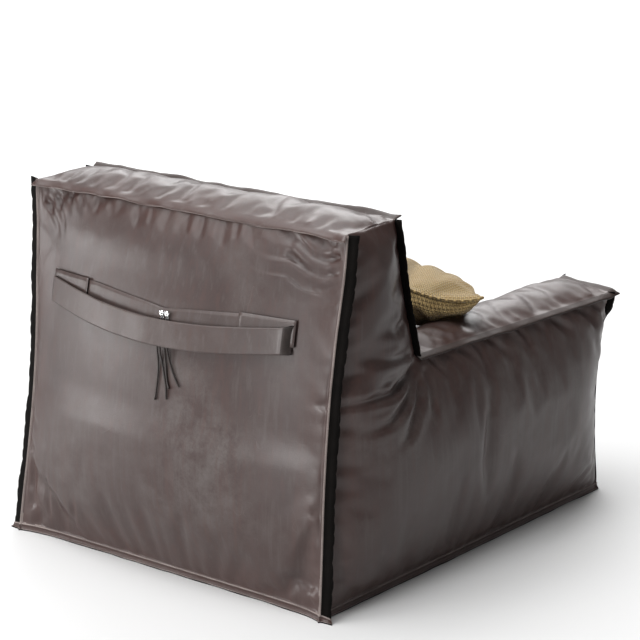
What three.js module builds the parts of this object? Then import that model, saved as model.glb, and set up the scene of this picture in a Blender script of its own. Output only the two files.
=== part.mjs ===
// Leather bean bag armchair: sewn cover panels, inner bead sacks, rear zip with a carry strap, and a scatter cushion.
// Millimetres, +Z up. The chair faces -Y and its middle plane is X = 0. Z = 0 is the floor.

import * as THREE from 'three';
import { mergeVertices } from 'three/addons/utils/BufferGeometryUtils.js';

// ---------- driving dimensions ----------

const HEIGHT = 780; // floor to the top seam
const LEATHER = 3; // thickness of a cover panel
const LIP = 17; // raw seam edge that stands past a seam
const CLEAR = 1; // gap kept where one panel butts against another
const BUTT = LEATHER + CLEAR; // from a panel's outer face to the end of the panel behind it

const REAR_Y = [492, 404]; // rear seam plane at the floor and at the top
const REAR_HALF = 431; // half width at the rear
const REAR_WAIST = 10;
const REAR_CROWN = 72;

const ARM_Z = 486; // outer arm seam
const EAR_Z = 498; // inner front corner of an arm
const FRONT_Y = [-506, -480]; // front seam plane at the floor and at the arm seam
const FRONT_HALF = [457, 485];
const FRONT_WAIST = 16;

const NOTCH_Y = 193; // where the backrest rises from the arms
const NOTCH_HALF = 422;
const BACKREST_TOP_Y = 250;
const BACKREST_TOP_HALF = 412;
const BACKREST_CROWN = 44;

const SEAT_HALF = 291;
const SEAT_FRONT_Z = 366;
const SEAT_REAR_Z = 398;
const SEAT_CROWN = 48;
const EAR_HALF = 348;
const ARM_REAR_HALF = 318;
const ARM_CROWN = 16;
const PINCH_Z = 253;
const PINCH_DEPTH = 12;

const SIDE_CROWN = 40;
const BASE_LIFT = 16; // the base seam stands this far off the floor
const LIP_FOOT = 0.5; // lower edge of the bottom seam
const TOP_CROWN = 14;
const FRONT_CROWN = 22;

const ZIP_Z = 535;
const BAND_FOOT_Z = 545.5;
const BAND_TOP_Z = 577;
const BAND_RISE = 19;
const BAND_REACH = 200;
const STRAP_WIDTH = 54;
const STRAP_END_Z = 587;
const STRAP_SAG = 27;
const PULL_Z = 570;
const PULL_RADIUS = 6.5;
const PULL_STANDOFF = 9; // back of the pull from the panel
const SLIDERS = { left: -2.5, right: -16.5 }; // rest place along X

const SACK_WALL = 1.4;
const FILL_GAP = 1.2;

// ---------- finishes ----------

function finish(color, roughness, metalness = 0) {
  return new THREE.MeshStandardMaterial({ color, roughness, metalness });
}

const leather = () => finish(0x4a3d3a, 0.45);
const darkLeather = () => finish(0x2a2020, 0.5);
const liner = () => finish(0xd8d4cc, 0.9);
const beads = () => finish(0xf2f2ee, 0.95);
const steel = () => finish(0xd9dadc, 0.18, 1);
const zipBlack = () => finish(0x17161a, 0.6);
const weave = () => finish(0x9a7c42, 0.95);

// ---------- small helpers ----------

const vec = (x, y, z) => new THREE.Vector3(x, y, z);
const mix = THREE.MathUtils.lerp;
const clamp01 = (t) => THREE.MathUtils.clamp(t, 0, 1);
const arch = (t) => Math.sin(Math.PI * clamp01(t));
const swell = (distance, reach) => Math.sin((Math.PI / 2) * clamp01(distance / reach));

const chair = new THREE.Group();

function place(name, geometry, material) {
  const mesh = new THREE.Mesh(geometry, material);
  mesh.name = name;
  chair.add(mesh);
  return mesh;
}

function bare(geometry) {
  geometry.deleteAttribute('normal');
  geometry.deleteAttribute('uv');
  return mergeVertices(geometry, 1e-4);
}

// Cuts the unit plane into cells, keeps the wanted ones and drapes the grid points over the surface.
function drape(columns, rows, surface, keep = () => true) {
  const plane = new THREE.PlaneGeometry(1, 1, columns, rows);
  const spots = plane.attributes.position;
  const index = [];
  for (let cell = 0; cell < columns * rows; cell += 1) {
    const i = cell % columns;
    const j = rows - 1 - Math.floor(cell / columns);
    if (keep(i, j)) {
      index.push(...plane.index.array.slice(cell * 6, cell * 6 + 6));
    }
  }
  const used = [...new Set(index)];
  const renumber = new Map(used.map((old, fresh) => [old, fresh]));
  const positions = [];
  for (const old of used) {
    const i = Math.round((spots.getX(old) + 0.5) * columns);
    const j = Math.round((spots.getY(old) + 0.5) * rows);
    positions.push(...surface(i, j).toArray());
  }
  const sheet = new THREE.BufferGeometry();
  sheet.setAttribute('position', new THREE.Float32BufferAttribute(positions, 3));
  sheet.setIndex(index.map((old) => renumber.get(old)));
  return sheet;
}

// Gives an open sheet a wall thickness towards the inside and closes its rim.
// `outward` returns the rough outward direction at a point of the sheet.
function thicken(sheet, thickness, outward) {
  sheet.computeVertexNormals();
  const spots = sheet.attributes.position;
  const normal = sheet.attributes.normal;
  const count = spots.count;
  const middle = Math.floor(count / 2);
  const probe = vec().fromBufferAttribute(spots, middle);
  const facing = Math.sign(vec().fromBufferAttribute(normal, middle).dot(outward(probe)));
  const positions = [];
  for (const inset of [0, thickness]) {
    for (let k = 0; k < count; k += 1) {
      const p = vec().fromBufferAttribute(spots, k);
      const n = vec().fromBufferAttribute(normal, k).multiplyScalar(-facing * inset);
      positions.push(...p.add(n).toArray());
    }
  }
  const source = sheet.index.array;
  const triangles = [];
  const rim = new Map();
  for (let f = 0; f < source.length; f += 3) {
    const a = source[f];
    const b = source[facing > 0 ? f + 1 : f + 2];
    const c = source[facing > 0 ? f + 2 : f + 1];
    triangles.push(a, b, c, c + count, b + count, a + count);
    for (const [s, e] of [[a, b], [b, c], [c, a]]) {
      if (rim.has(`${e},${s}`)) {
        rim.delete(`${e},${s}`);
      } else {
        rim.set(`${s},${e}`, [s, e]);
      }
    }
  }
  for (const [s, e] of rim.values()) {
    triangles.push(s, s + count, e, e, s + count, e + count);
  }
  const solid = new THREE.BufferGeometry();
  solid.setAttribute('position', new THREE.Float32BufferAttribute(positions, 3));
  solid.setIndex(triangles);
  return solid;
}

// ---------- seam lines of the cover ----------

const rearY = (z) => mix(REAR_Y[0], REAR_Y[1], z / HEIGHT);
const frontY = (z) => mix(FRONT_Y[0], FRONT_Y[1], z / ARM_Z);
const backrestY = (z) => mix(NOTCH_Y, BACKREST_TOP_Y, (z - ARM_Z) / (HEIGHT - ARM_Z));
const rearHalf = (z) => REAR_HALF - REAR_WAIST * arch(z / HEIGHT);
const frontHalf = (z) => mix(FRONT_HALF[0], FRONT_HALF[1], clamp01(z / ARM_Z)) - FRONT_WAIST * arch(z / ARM_Z);
const backrestHalf = (z) => mix(NOTCH_HALF, BACKREST_TOP_HALF, clamp01((z - ARM_Z) / (HEIGHT - ARM_Z)));

function armSeamHalf(y) {
  const ahead = clamp01((NOTCH_Y - y) / (NOTCH_Y - FRONT_Y[1]));
  return mix(NOTCH_HALF, FRONT_HALF[1], ahead);
}

function panelY(x, z) {
  const up = clamp01((z - BASE_LIFT) / (HEIGHT - BASE_LIFT));
  const across = clamp01(Math.abs(x) / REAR_HALF);
  return rearY(z) + REAR_CROWN * (1 - across * across) * 4 * up * (1 - up);
}

// ---------- cover panels ----------

function rearPanel() {
  const columns = 12;
  const rows = 11;
  const levels = (j) => (j === 0 ? LIP_FOOT : mix(BASE_LIFT, HEIGHT - BUTT, (j - 1) / (rows - 1)));
  const sheet = drape(columns, rows, (i, j) => {
    const z = levels(j);
    const x = mix(-1, 1, i / columns) * (rearHalf(z) - BUTT);
    return vec(x, panelY(x, z), z);
  });
  place('rear_panel', thicken(sheet, LEATHER, () => vec(0, 1, 0)), leather());
}

function topPanel() {
  const columns = 10;
  const rows = 6;
  const sheet = drape(columns, rows, (i, j) => {
    const depth = j === 0 ? -LIP * 0.8 : j === rows ? rearY(HEIGHT) + LIP - BACKREST_TOP_Y
      : mix(0, rearY(HEIGHT) - BACKREST_TOP_Y, (j - 1) / (rows - 2));
    const back = clamp01(depth / (rearY(HEIGHT) - BACKREST_TOP_Y));
    const half = mix(BACKREST_TOP_HALF, rearHalf(HEIGHT), back);
    const x = mix(-1, 1, i / columns) * half;
    const rise = TOP_CROWN * arch(back) * swell(half - Math.abs(x), 150);
    return vec(x, BACKREST_TOP_Y + depth, HEIGHT + rise);
  });
  place('top_panel', thicken(sheet, LEATHER, () => vec(0, 0, 1)), leather());
}

// The panel seen from the side is an L: a low block under the arm and a tall block behind the notch.
function sideInset(y, z) {
  const rear = rearY(z) - y;
  const front = z > ARM_Z ? y - backrestY(z) : y - frontY(z);
  const top = y < NOTCH_Y ? ARM_Z - z : HEIGHT - z;
  const corner = z > ARM_Z ? Infinity : Math.hypot(Math.max(0, NOTCH_Y - y), ARM_Z - z);
  return Math.max(0, Math.min(rear, front, top, z - BASE_LIFT, y < NOTCH_Y ? Infinity : corner));
}

function sideHalf(y, z) {
  const low = clamp01((y - frontY(0)) / (rearY(z) - frontY(0)));
  const foot = mix(FRONT_HALF[0], REAR_HALF, low);
  const back = clamp01((y - backrestY(z)) / (rearY(z) - backrestY(z)));
  const seam = y < NOTCH_Y ? armSeamHalf(y) : mix(backrestHalf(z), rearHalf(z), back);
  const base = mix(foot, seam, clamp01(z / ARM_Z));
  const waist = FRONT_WAIST * arch(z / ARM_Z) * clamp01((NOTCH_Y - y) / 500);
  return base - waist + SIDE_CROWN * swell(sideInset(y, z), 130);
}

function sidePanel(name, side) {
  const before = 9;
  const behind = 4;
  const below = 6;
  const above = 4;
  const columns = before + behind + 1;
  const rows = below + above + 1;
  const levels = (j) => {
    if (j === 0) return LIP_FOOT;
    if (j <= below + 1) return mix(BASE_LIFT, ARM_Z - BUTT, (j - 1) / below);
    return mix(ARM_Z - BUTT, HEIGHT - BUTT, (j - 1 - below) / above);
  };
  const sheet = drape(columns, rows, (i, j) => {
    const z = levels(j);
    const notch = (z > ARM_Z - BUTT ? backrestY(z) : NOTCH_Y) + BUTT;
    let y = rearY(z) + LIP;
    if (i < before) {
      y = mix(frontY(z) + BUTT, notch, i / before);
    } else if (i < columns) {
      y = mix(notch, rearY(z), (i - before) / behind);
    }
    return vec(side * sideHalf(y, z), y, z);
  }, (i, j) => i >= before || j <= below);
  place(name, thicken(sheet, LEATHER, () => vec(side, 0, 0)), leather());
}

function basePanel() {
  const columns = 10;
  const rows = 10;
  const sheet = drape(columns, rows, (i, j) => {
    const y = mix(frontY(BASE_LIFT) + BUTT, rearY(BASE_LIFT) - BUTT, j / rows);
    const half = sideHalf(y, BASE_LIFT) - BUTT;
    const x = mix(-1, 1, i / columns) * half;
    const edge = Math.min(i, j, columns - i, rows - j) / 2;
    return vec(x, y, BASE_LIFT * (1 - swell(edge, 1)));
  });
  place('base_panel', thicken(sheet, LEATHER, () => vec(0, 0, -1)), leather());
}

// A T: full width above the arms, narrow between them down to the seat.
function backrestFrontPanel() {
  const wing = 2;
  const middle = 8;
  const below = 2;
  const above = 7;
  const columns = 2 * wing + middle + 2;
  const rows = below + above;
  const sheet = drape(columns, rows, (i, j) => {
    const z = j <= below ? mix(SEAT_REAR_Z - 4, ARM_Z, j / below) : mix(ARM_Z, HEIGHT - BUTT, (j - below) / above);
    const seam = backrestHalf(z);
    const inner = ARM_REAR_HALF - 22;
    let x = 0;
    if (i === 0 || i === columns) {
      x = (i === 0 ? -1 : 1) * (seam + LIP);
    } else if (i < 1 + wing) {
      x = mix(-seam, -inner, (i - 1) / wing);
    } else if (i > 1 + wing + middle) {
      x = mix(inner, seam, (i - 1 - wing - middle) / wing);
    } else {
      x = mix(-inner, inner, (i - 1 - wing) / middle);
    }
    const side = z < ARM_Z ? inner - Math.abs(x) : seam - Math.abs(x);
    const floor = z - (Math.abs(x) > inner ? ARM_Z + 20 : SEAT_REAR_Z + 6);
    const shoulder = Math.hypot(inner - Math.abs(x), Math.max(0, z - ARM_Z));
    const inset = Math.max(0, Math.min(side, floor, HEIGHT - z, shoulder));
    return vec(x, backrestY(z) - BACKREST_CROWN * swell(inset, 170), z);
  }, (i, j) => j >= below || (i > wing && i <= wing + middle));
  place('backrest_front_panel', thicken(sheet, LEATHER, () => vec(0, -1, 0)), leather());
}

function seatZ(x, y) {
  const back = clamp01((y - frontY(SEAT_FRONT_Z)) / (backrestY(SEAT_REAR_Z) - frontY(SEAT_FRONT_Z)));
  const inset = Math.min(SEAT_HALF - Math.abs(x), y - frontY(SEAT_FRONT_Z), backrestY(SEAT_REAR_Z) - y);
  return mix(SEAT_FRONT_Z, SEAT_REAR_Z, back) + SEAT_CROWN * swell(Math.max(0, inset), 190);
}

function seatPanel() {
  const columns = 8;
  const rows = 9;
  const front = frontY(SEAT_FRONT_Z);
  const sheet = drape(columns, rows, (i, j) => {
    const y = j === 0 ? front - LIP / 2 : mix(front, backrestY(SEAT_REAR_Z) - BUTT, (j - 1) / (rows - 1));
    const x = mix(-SEAT_HALF, SEAT_HALF, i / columns);
    return vec(x, y, seatZ(x, y));
  });
  place('seat_panel', thicken(sheet, LEATHER, () => vec(0, 0, 1)), leather());
}

// One piece for both arm fronts and the seat front: a U with a pinch under each inner corner.
function frontPanel() {
  const arm = 4;
  const middle = 6;
  const below = 6;
  const above = 3;
  const columns = 2 * (arm + 1) + middle;
  const rows = below + above + 1;
  const levels = (j) => {
    if (j === 0) return LIP_FOOT;
    if (j <= below + 1) return mix(BASE_LIFT, SEAT_FRONT_Z - BUTT, (j - 1) / below);
    return mix(SEAT_FRONT_Z - BUTT, ARM_Z - BUTT, (j - 1 - below) / above);
  };
  const sheet = drape(columns, rows, (i, j) => {
    const z = levels(j);
    const seam = frontHalf(z);
    const inner = armInnerHalf(z) + 2 * BUTT;
    const mirrored = Math.min(i, columns - i);
    let x = seam + LIP;
    if (mirrored > 0) {
      x = mirrored <= arm + 1 ? mix(seam, inner, (mirrored - 1) / arm)
        : mix(inner, 0, (mirrored - 1 - arm) / (middle / 2));
    }
    const sidewise = x > inner ? Math.min(seam - x, x - inner + 60) : inner - x + 60;
    const inset = Math.max(0, Math.min(sidewise, z - BASE_LIFT, (x > inner ? ARM_Z : SEAT_FRONT_Z) - z));
    const pinch = Math.exp(-Math.hypot(x - inner, (z - PINCH_Z) / 1.6) / 45);
    const y = frontY(z) - FRONT_CROWN * swell(inset, 120) + PINCH_DEPTH * pinch * (mirrored > 0 ? 1 : 0);
    return vec(i < columns / 2 ? -x : x, y, z);
  }, (i, j) => j <= below || i <= arm || i >= columns - arm - 1);
  place('front_panel', thicken(sheet, LEATHER, () => vec(0, -1, 0)), leather());
}

// Half width between the arms at the front.
function armInnerHalf(z) {
  return mix(SEAT_HALF + BUTT + CLEAR, EAR_HALF, clamp01((z - SEAT_FRONT_Z) / (EAR_Z - SEAT_FRONT_Z)));
}

// Arm top and inner side in one piece, rolled over the inner edge and down to the seat seam.
function armPanel(name, side) {
  const across = 9;
  const along = 8;
  const sheet = drape(across, along, (i, j) => {
    const y = j === 0 ? frontY(ARM_Z) - LIP * 0.8 : mix(frontY(ARM_Z), NOTCH_Y - CLEAR, (j - 1) / (along - 1));
    const ahead = clamp01((NOTCH_Y - y) / (NOTCH_Y - frontY(ARM_Z)));
    const seam = armSeamHalf(y);
    const ear = mix(ARM_REAR_HALF, EAR_HALF, ahead);
    const earZ = mix(ARM_Z, EAR_Z, ahead);
    const seatSeam = mix(SEAT_REAR_Z, SEAT_FRONT_Z, ahead);
    const t = clamp01((i - 1) / (across - 1));
    const top = t < 0.55;
    const endwise = Math.min(y - frontY(ARM_Z), NOTCH_Y - 20 - y);
    const bow = ARM_CROWN * arch(top ? t / 0.55 : (t - 0.55) / 0.45) * swell(Math.max(0, endwise), 120);
    let x = top ? mix(seam, ear, t / 0.55) : mix(ear, SEAT_HALF + BUTT + CLEAR, (t - 0.55) / 0.45) - bow;
    const z = top ? mix(ARM_Z, earZ, t / 0.55) + bow : mix(earZ, seatSeam, (t - 0.55) / 0.45);
    if (i === 0) {
      x = seam + LIP;
    }
    const lean = Math.min(0, backrestY(z) - NOTCH_Y);
    return vec(side * x, y + lean * (j / along), z);
  });
  place(name, thicken(sheet, LEATHER, () => vec(side, 0, 1)), leather());
}

// ---------- inner sacks and their bead filling ----------

// Rounded box: a sphere whose round section is squared off.
function roundedBox(low, high, shrink, mouth) {
  const shape = new THREE.SphereGeometry(1, 16, 9, 0, Math.PI * 2, mouth, Math.PI - mouth);
  const spots = shape.attributes.position;
  const middle = low.clone().add(high).multiplyScalar(0.5);
  const half = high.clone().sub(low).multiplyScalar(0.5).subScalar(shrink);
  const square = (c) => (Math.abs(c) < 1e-6 ? 0 : Math.sign(c) * Math.pow(Math.abs(c), 0.42));
  for (let k = 0; k < spots.count; k += 1) {
    const x = square(spots.getX(k)) * half.x;
    const y = square(spots.getZ(k)) * half.y;
    const z = square(spots.getY(k)) * half.z;
    spots.setXYZ(k, middle.x + x, middle.y - y, middle.z + z);
  }
  return bare(shape);
}

function leanWithRear(geometry, foot, head) {
  const spots = geometry.attributes.position;
  for (let k = 0; k < spots.count; k += 1) {
    const up = (spots.getZ(k) - foot) / (head - foot);
    const back = (spots.getY(k) - 215) / 250;
    spots.setY(k, spots.getY(k) + mix(0, 28 - 86 * back, up));
  }
  return geometry;
}

function sack(name, low, high, shape = (geometry) => geometry) {
  const mouth = 0.45;
  const skin = shape(roundedBox(low, high, 0, mouth));
  const centre = low.clone().add(high).multiplyScalar(0.5);
  place(`${name}_liner`, thicken(skin, SACK_WALL, (p) => p.clone().sub(centre)), liner());
  const filling = shape(roundedBox(low, high, SACK_WALL + FILL_GAP + 3, 0));
  place(`${name}_bead_fill`, filling, beads());
}

// ---------- rear zip, band, tabs and strap ----------

// A strip that follows the bulged rear panel at a stand-off, between a lower and an upper line.
function strip(name, ends, columns, foot, head, standoff, thickness, material) {
  const sheet = drape(columns, 1, (i, j) => {
    const x = mix(ends[0], ends[1], i / columns);
    const z = j === 0 ? foot(x) : head(x);
    return vec(x, panelY(x, z) + standoff(x) + thickness, z);
  });
  place(name, thicken(sheet, thickness, () => vec(0, 1, 0)), material);
}

const bandHead = (x) => BAND_TOP_Z + BAND_RISE * Math.pow(clamp01(Math.abs(x) / BAND_REACH), 0.8);
const flat = (value) => () => value;

function zipAndBand() {
  strip('zip_tape', [-184, 218], 14, flat(ZIP_Z - 19), flat(ZIP_Z + 9), flat(0.8), 1.2, zipBlack());
  strip('zip_chain', [-178, 212], 14, flat(ZIP_Z - 4), flat(ZIP_Z + 4), flat(2.5), 1.9, zipBlack());
  strip('upper_band', [-300, 312], 20, flat(BAND_FOOT_Z), bandHead, flat(1), 2.5, leather());
  strip('left_end_tab', [225, 338], 5, flat(BAND_FOOT_Z), flat(600), flat(4.2), 3, leather());
  strip('right_end_tab', [-322, -190], 5, flat(BAND_FOOT_Z), flat(599), flat(4.2), 3, leather());
}

function zipSlider(side, x) {
  const shape = new THREE.Shape();
  shape.moveTo(4.9, ZIP_Z - 6);
  shape.lineTo(7.8, ZIP_Z - 6);
  shape.lineTo(7.8, ZIP_Z + 6);
  shape.lineTo(7, ZIP_Z + 8);
  shape.lineTo(7, PULL_Z + 2);
  shape.lineTo(5.2, PULL_Z + 2);
  shape.lineTo(5.2, ZIP_Z + 7);
  shape.lineTo(4.9, ZIP_Z + 6);
  const width = 7;
  const slider = new THREE.ExtrudeGeometry(shape, { depth: width, bevelEnabled: false });
  slider.applyMatrix4(new THREE.Matrix4().makeBasis(vec(0, 1, 0), vec(0, 0, 1), vec(1, 0, 0)));
  slider.translate(x - width / 2, 0, 0);
  const position = slider.attributes.position;
  for (let k = 0; k < position.count; k += 1) {
    position.setY(k, position.getY(k) + panelY(x, position.getZ(k)));
  }
  place(`zip_slider_${side}`, bare(slider), steel());
  const profile = [[0, 0], [PULL_RADIUS - 1, 0], [PULL_RADIUS, 1.2], [PULL_RADIUS, 3], [PULL_RADIUS - 1.6, 4.6], [0, 5]];
  const pull = new THREE.LatheGeometry(profile.map(([r, h]) => new THREE.Vector2(r, h)), 20);
  pull.translate(x, panelY(x, PULL_Z) + PULL_STANDOFF, PULL_Z);
  place(`zip_pull_${side}`, bare(pull), steel());
}

// Strap routes: place along X, stand-off of its inner face from the panel.
const STRAP_STANDOFF = [
  [336, 9], [300, 11], [240, 14.5], [180, 17], [120, 18], [60, 18.5], [0, 18.5], [-60, 18.5],
  [-120, 18.5], [-180, 18], [-240, 17.5], [-294, 17], [-307, 15], [-313, 9.5],
];

function carryStrap() {
  const steps = STRAP_STANDOFF.length - 1;
  const sheet = drape(steps, 2, (i, j) => {
    const [x, standoff] = STRAP_STANDOFF[steps - i];
    const sag = STRAP_SAG * arch((x + 313) / 649);
    const z = STRAP_END_Z - sag - STRAP_WIDTH * (1 - j / 2);
    return vec(x, panelY(x, z) + standoff + 3.5, z);
  });
  place('carry_strap', thicken(sheet, 3.5, () => vec(0, 1, 0)), leather());
}

// Lace routes from the pull down behind the strap: place along X, stand-off from the panel, height.
const LACES = {
  lace_left_outer: [[0.5, 11, 560], [0, 11, 545], [-1, 11, 525], [-2.3, 10.6, 508], [-4, 8, 490], [-5.6, 4.6, 473],
    [-6.5, 3.1, 455], [-6.5, 3, 437], [-5.6, 3, 420], [-4.8, 3, 402], [-3.2, 3, 390.5]],
  lace_left_inner: [[-5.5, 11, 560], [-6, 11, 545], [-7, 11, 525], [-8.7, 10.6, 508], [-11.5, 8, 490], [-15, 4.6, 474],
    [-19, 3.1, 459], [-23.7, 3, 445], [-28, 3, 432], [-31.5, 3, 415], [-33, 3, 397]],
  lace_right_inner: [[-13.5, 11, 560], [-15, 11, 545], [-19, 11, 525], [-22.3, 10.6, 509], [-23.3, 8, 491],
    [-24.5, 4.6, 476], [-26.8, 3.1, 460], [-29.5, 3, 446], [-33.4, 3, 432], [-38.4, 3, 419.5]],
  lace_right_outer: [[-19.5, 11, 560], [-21, 11, 545], [-25, 11, 525], [-28.1, 10.6, 510], [-31, 8, 493],
    [-34.4, 4.6, 478], [-38.5, 3.1, 467], [-43.5, 3, 458], [-53.8, 3, 441.6], [-64.3, 3, 427.7]],
};

function laces() {
  const radius = 2.1;
  const ring = new THREE.Shape();
  ring.absarc(0, 0, radius, 0, Math.PI * 2);
  for (const [name, route] of Object.entries(LACES)) {
    const points = route.map(([x, standoff, z]) => vec(x, panelY(x, z) + standoff, z));
    const path = new THREE.CatmullRomCurve3(points);
    const section = new THREE.Shape(ring.getPoints(2).slice(0, 8));
    const lace = new THREE.ExtrudeGeometry(section, { steps: 16, bevelEnabled: false, extrudePath: path });
    place(name, bare(lace), darkLeather());
  }
}

// ---------- scatter cushion ----------

const CUSHION = {
  apex: vec(-75, 158, 690), // leans on the backrest
  armCorner: vec(-453, -12, 568), // stands out over the right arm
  seatCorner: vec(178, -32, 446), // lies on the seat
  frontCorner: vec(-215, -218, 484), // bent up over the arm's inner edge
};
const CUSHION_SWELL = 72; // bulge of the front face
const CUSHION_BACK_SHARE = 0.62; // bulge of the back face, which the chair presses

function cushionMiddle(u, v) {
  const low = CUSHION.armCorner.clone().lerp(CUSHION.frontCorner, u);
  const high = CUSHION.apex.clone().lerp(CUSHION.seatCorner, u);
  return low.lerp(high, v);
}

function cushionNormal() {
  const across = CUSHION.seatCorner.clone().sub(CUSHION.armCorner);
  const up = CUSHION.apex.clone().sub(CUSHION.frontCorner);
  return across.cross(up).normalize();
}

function cushionHeight(u, v) {
  return CUSHION_SWELL * Math.pow(arch(u) * arch(v), 0.6);
}

function cushion() {
  const cells = 8;
  const normal = cushionNormal();
  const edge = 0.02;
  const at = (k) => mix(edge, 1 - edge, k / cells);
  const face = (direction, rim, scale) => drape(cells, cells, (i, j) => {
    const height = rim + scale * cushionHeight(i / cells, j / cells);
    return cushionMiddle(at(i), at(j)).addScaledVector(normal, direction * height);
  });
  const front = face(1, 2.4, 1);
  const back = face(-1, 2.4, CUSHION_BACK_SHARE);
  place('cushion_front_cover', thicken(front, 1.6, () => normal), weave());
  place('cushion_back_cover', thicken(back, 1.6, () => normal.clone().negate()), weave());
  const border = [[0, 0], [0.5, 0], [1, 0], [1, 0.5], [1, 1], [0.5, 1], [0, 1], [0, 0.5]];
  const loop = new THREE.CatmullRomCurve3(border.map(([u, v]) => cushionMiddle(u, v)), true, 'catmullrom', 0.15);
  const section = new THREE.Shape();
  section.absarc(0, 0, 2.2, 0, Math.PI * 2);
  const cord = new THREE.Shape(section.getPoints(2).slice(0, 8));
  const piping = new THREE.ExtrudeGeometry(cord, { steps: 48, bevelEnabled: false, extrudePath: loop });
  place('cushion_piping', bare(piping), weave());
  const inside = new THREE.SphereGeometry(1, 14, 8);
  const position = inside.attributes.position;
  const squash = (c) => Math.sign(c) * Math.pow(Math.abs(c), 0.7);
  for (let k = 0; k < position.count; k += 1) {
    const u = 0.5 + 0.42 * squash(position.getX(k));
    const v = 0.5 - 0.42 * squash(position.getZ(k));
    const room = 0.75 * cushionHeight(u, v) * position.getY(k);
    const p = cushionMiddle(u, v).addScaledVector(normal, room > 0 ? room : CUSHION_BACK_SHARE * room);
    position.setXYZ(k, p.x, p.y, p.z);
  }
  place('cushion_inner_pad', bare(inside), liner());
}

// ---------- assembly ----------

rearPanel();
topPanel();
sidePanel('left_side_panel', 1);
sidePanel('right_side_panel', -1);
basePanel();
backrestFrontPanel();
seatPanel();
frontPanel();
armPanel('left_arm_panel', 1);
armPanel('right_arm_panel', -1);

sack('seat', vec(-276, -468, 24), vec(276, 166, 352));
sack('left_arm', vec(300, -462, 24), vec(425, 176, 470));
sack('right_arm', vec(-425, -462, 24), vec(-300, 176, 470));
sack('backrest', vec(-404, 215, 24), vec(404, 465, 764), (geometry) => leanWithRear(geometry, 24, 764));

zipAndBand();
for (const [side, x] of Object.entries(SLIDERS)) {
  zipSlider(side, x);
}
carryStrap();
laces();
cushion();

export default chair;
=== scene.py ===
"""Leather bean bag armchair, dressed around its CAD frame. Metres, +Z up, the chair faces -Y."""

import logging
import math
from dataclasses import dataclass
from enum import IntEnum
from typing import Callable, Iterable, Sequence

import bmesh
import bpy
from mathutils import Matrix, Vector, noise
from mathutils.kdtree import KDTree


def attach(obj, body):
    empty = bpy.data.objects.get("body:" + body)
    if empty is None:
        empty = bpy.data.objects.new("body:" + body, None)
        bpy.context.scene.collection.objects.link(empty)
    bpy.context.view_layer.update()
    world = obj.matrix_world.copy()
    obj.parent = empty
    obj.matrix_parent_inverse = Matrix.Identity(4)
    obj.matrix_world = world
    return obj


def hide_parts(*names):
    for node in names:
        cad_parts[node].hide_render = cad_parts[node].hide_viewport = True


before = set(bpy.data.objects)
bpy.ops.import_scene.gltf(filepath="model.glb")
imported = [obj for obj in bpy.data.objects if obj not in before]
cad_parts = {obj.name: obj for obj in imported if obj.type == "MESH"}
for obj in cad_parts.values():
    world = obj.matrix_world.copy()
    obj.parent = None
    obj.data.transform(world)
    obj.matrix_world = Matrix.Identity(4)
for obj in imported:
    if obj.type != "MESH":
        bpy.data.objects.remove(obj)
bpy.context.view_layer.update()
LOG = logging.getLogger("bean_bag_armchair")

Place = Callable[[float, float], Vector]
Colour = tuple[float, float, float, float]


# ---------- small sums ----------


def mix(a: float, b: float, t: float) -> float:
    """Value between a and b."""
    return a + (b - a) * t


def clamp01(t: float) -> float:
    """t held between 0 and 1."""
    return min(1.0, max(0.0, t))


def arch(t: float) -> float:
    """Half sine, 0 at both ends."""
    return math.sin(math.pi * clamp01(t))


def swell(distance: float, reach: float) -> float:
    """Rise from a seam that levels out after a reach."""
    return math.sin(math.pi / 2 * clamp01(distance / reach))


def smooth(t: float) -> float:
    """Smooth step from 0 to 1."""
    t = clamp01(t)
    return t * t * (3 - 2 * t)


def ripple(x: float, y: float = 0.0, z: float = 0.0) -> float:
    """Seeded noise, about -1 to 1."""
    return noise.noise(Vector((x, y, z)), noise_basis="PERLIN_ORIGINAL")


# ---------- seam lines of the cover ----------


class Panel(IntEnum):
    """The ten leather panels of the cover."""

    REAR = 1
    TOP = 2
    LEFT_SIDE = 3
    RIGHT_SIDE = 4
    BASE = 5
    BACKREST = 6
    SEAT = 7
    FRONT = 8
    LEFT_ARM = 9
    RIGHT_ARM = 10

    @property
    def node(self) -> str:
        """Name of the CAD node that the panel stands for."""
        names = {Panel.BACKREST: "backrest_front_panel"}
        return names.get(self, f"{self.name.lower()}_panel")


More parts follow.
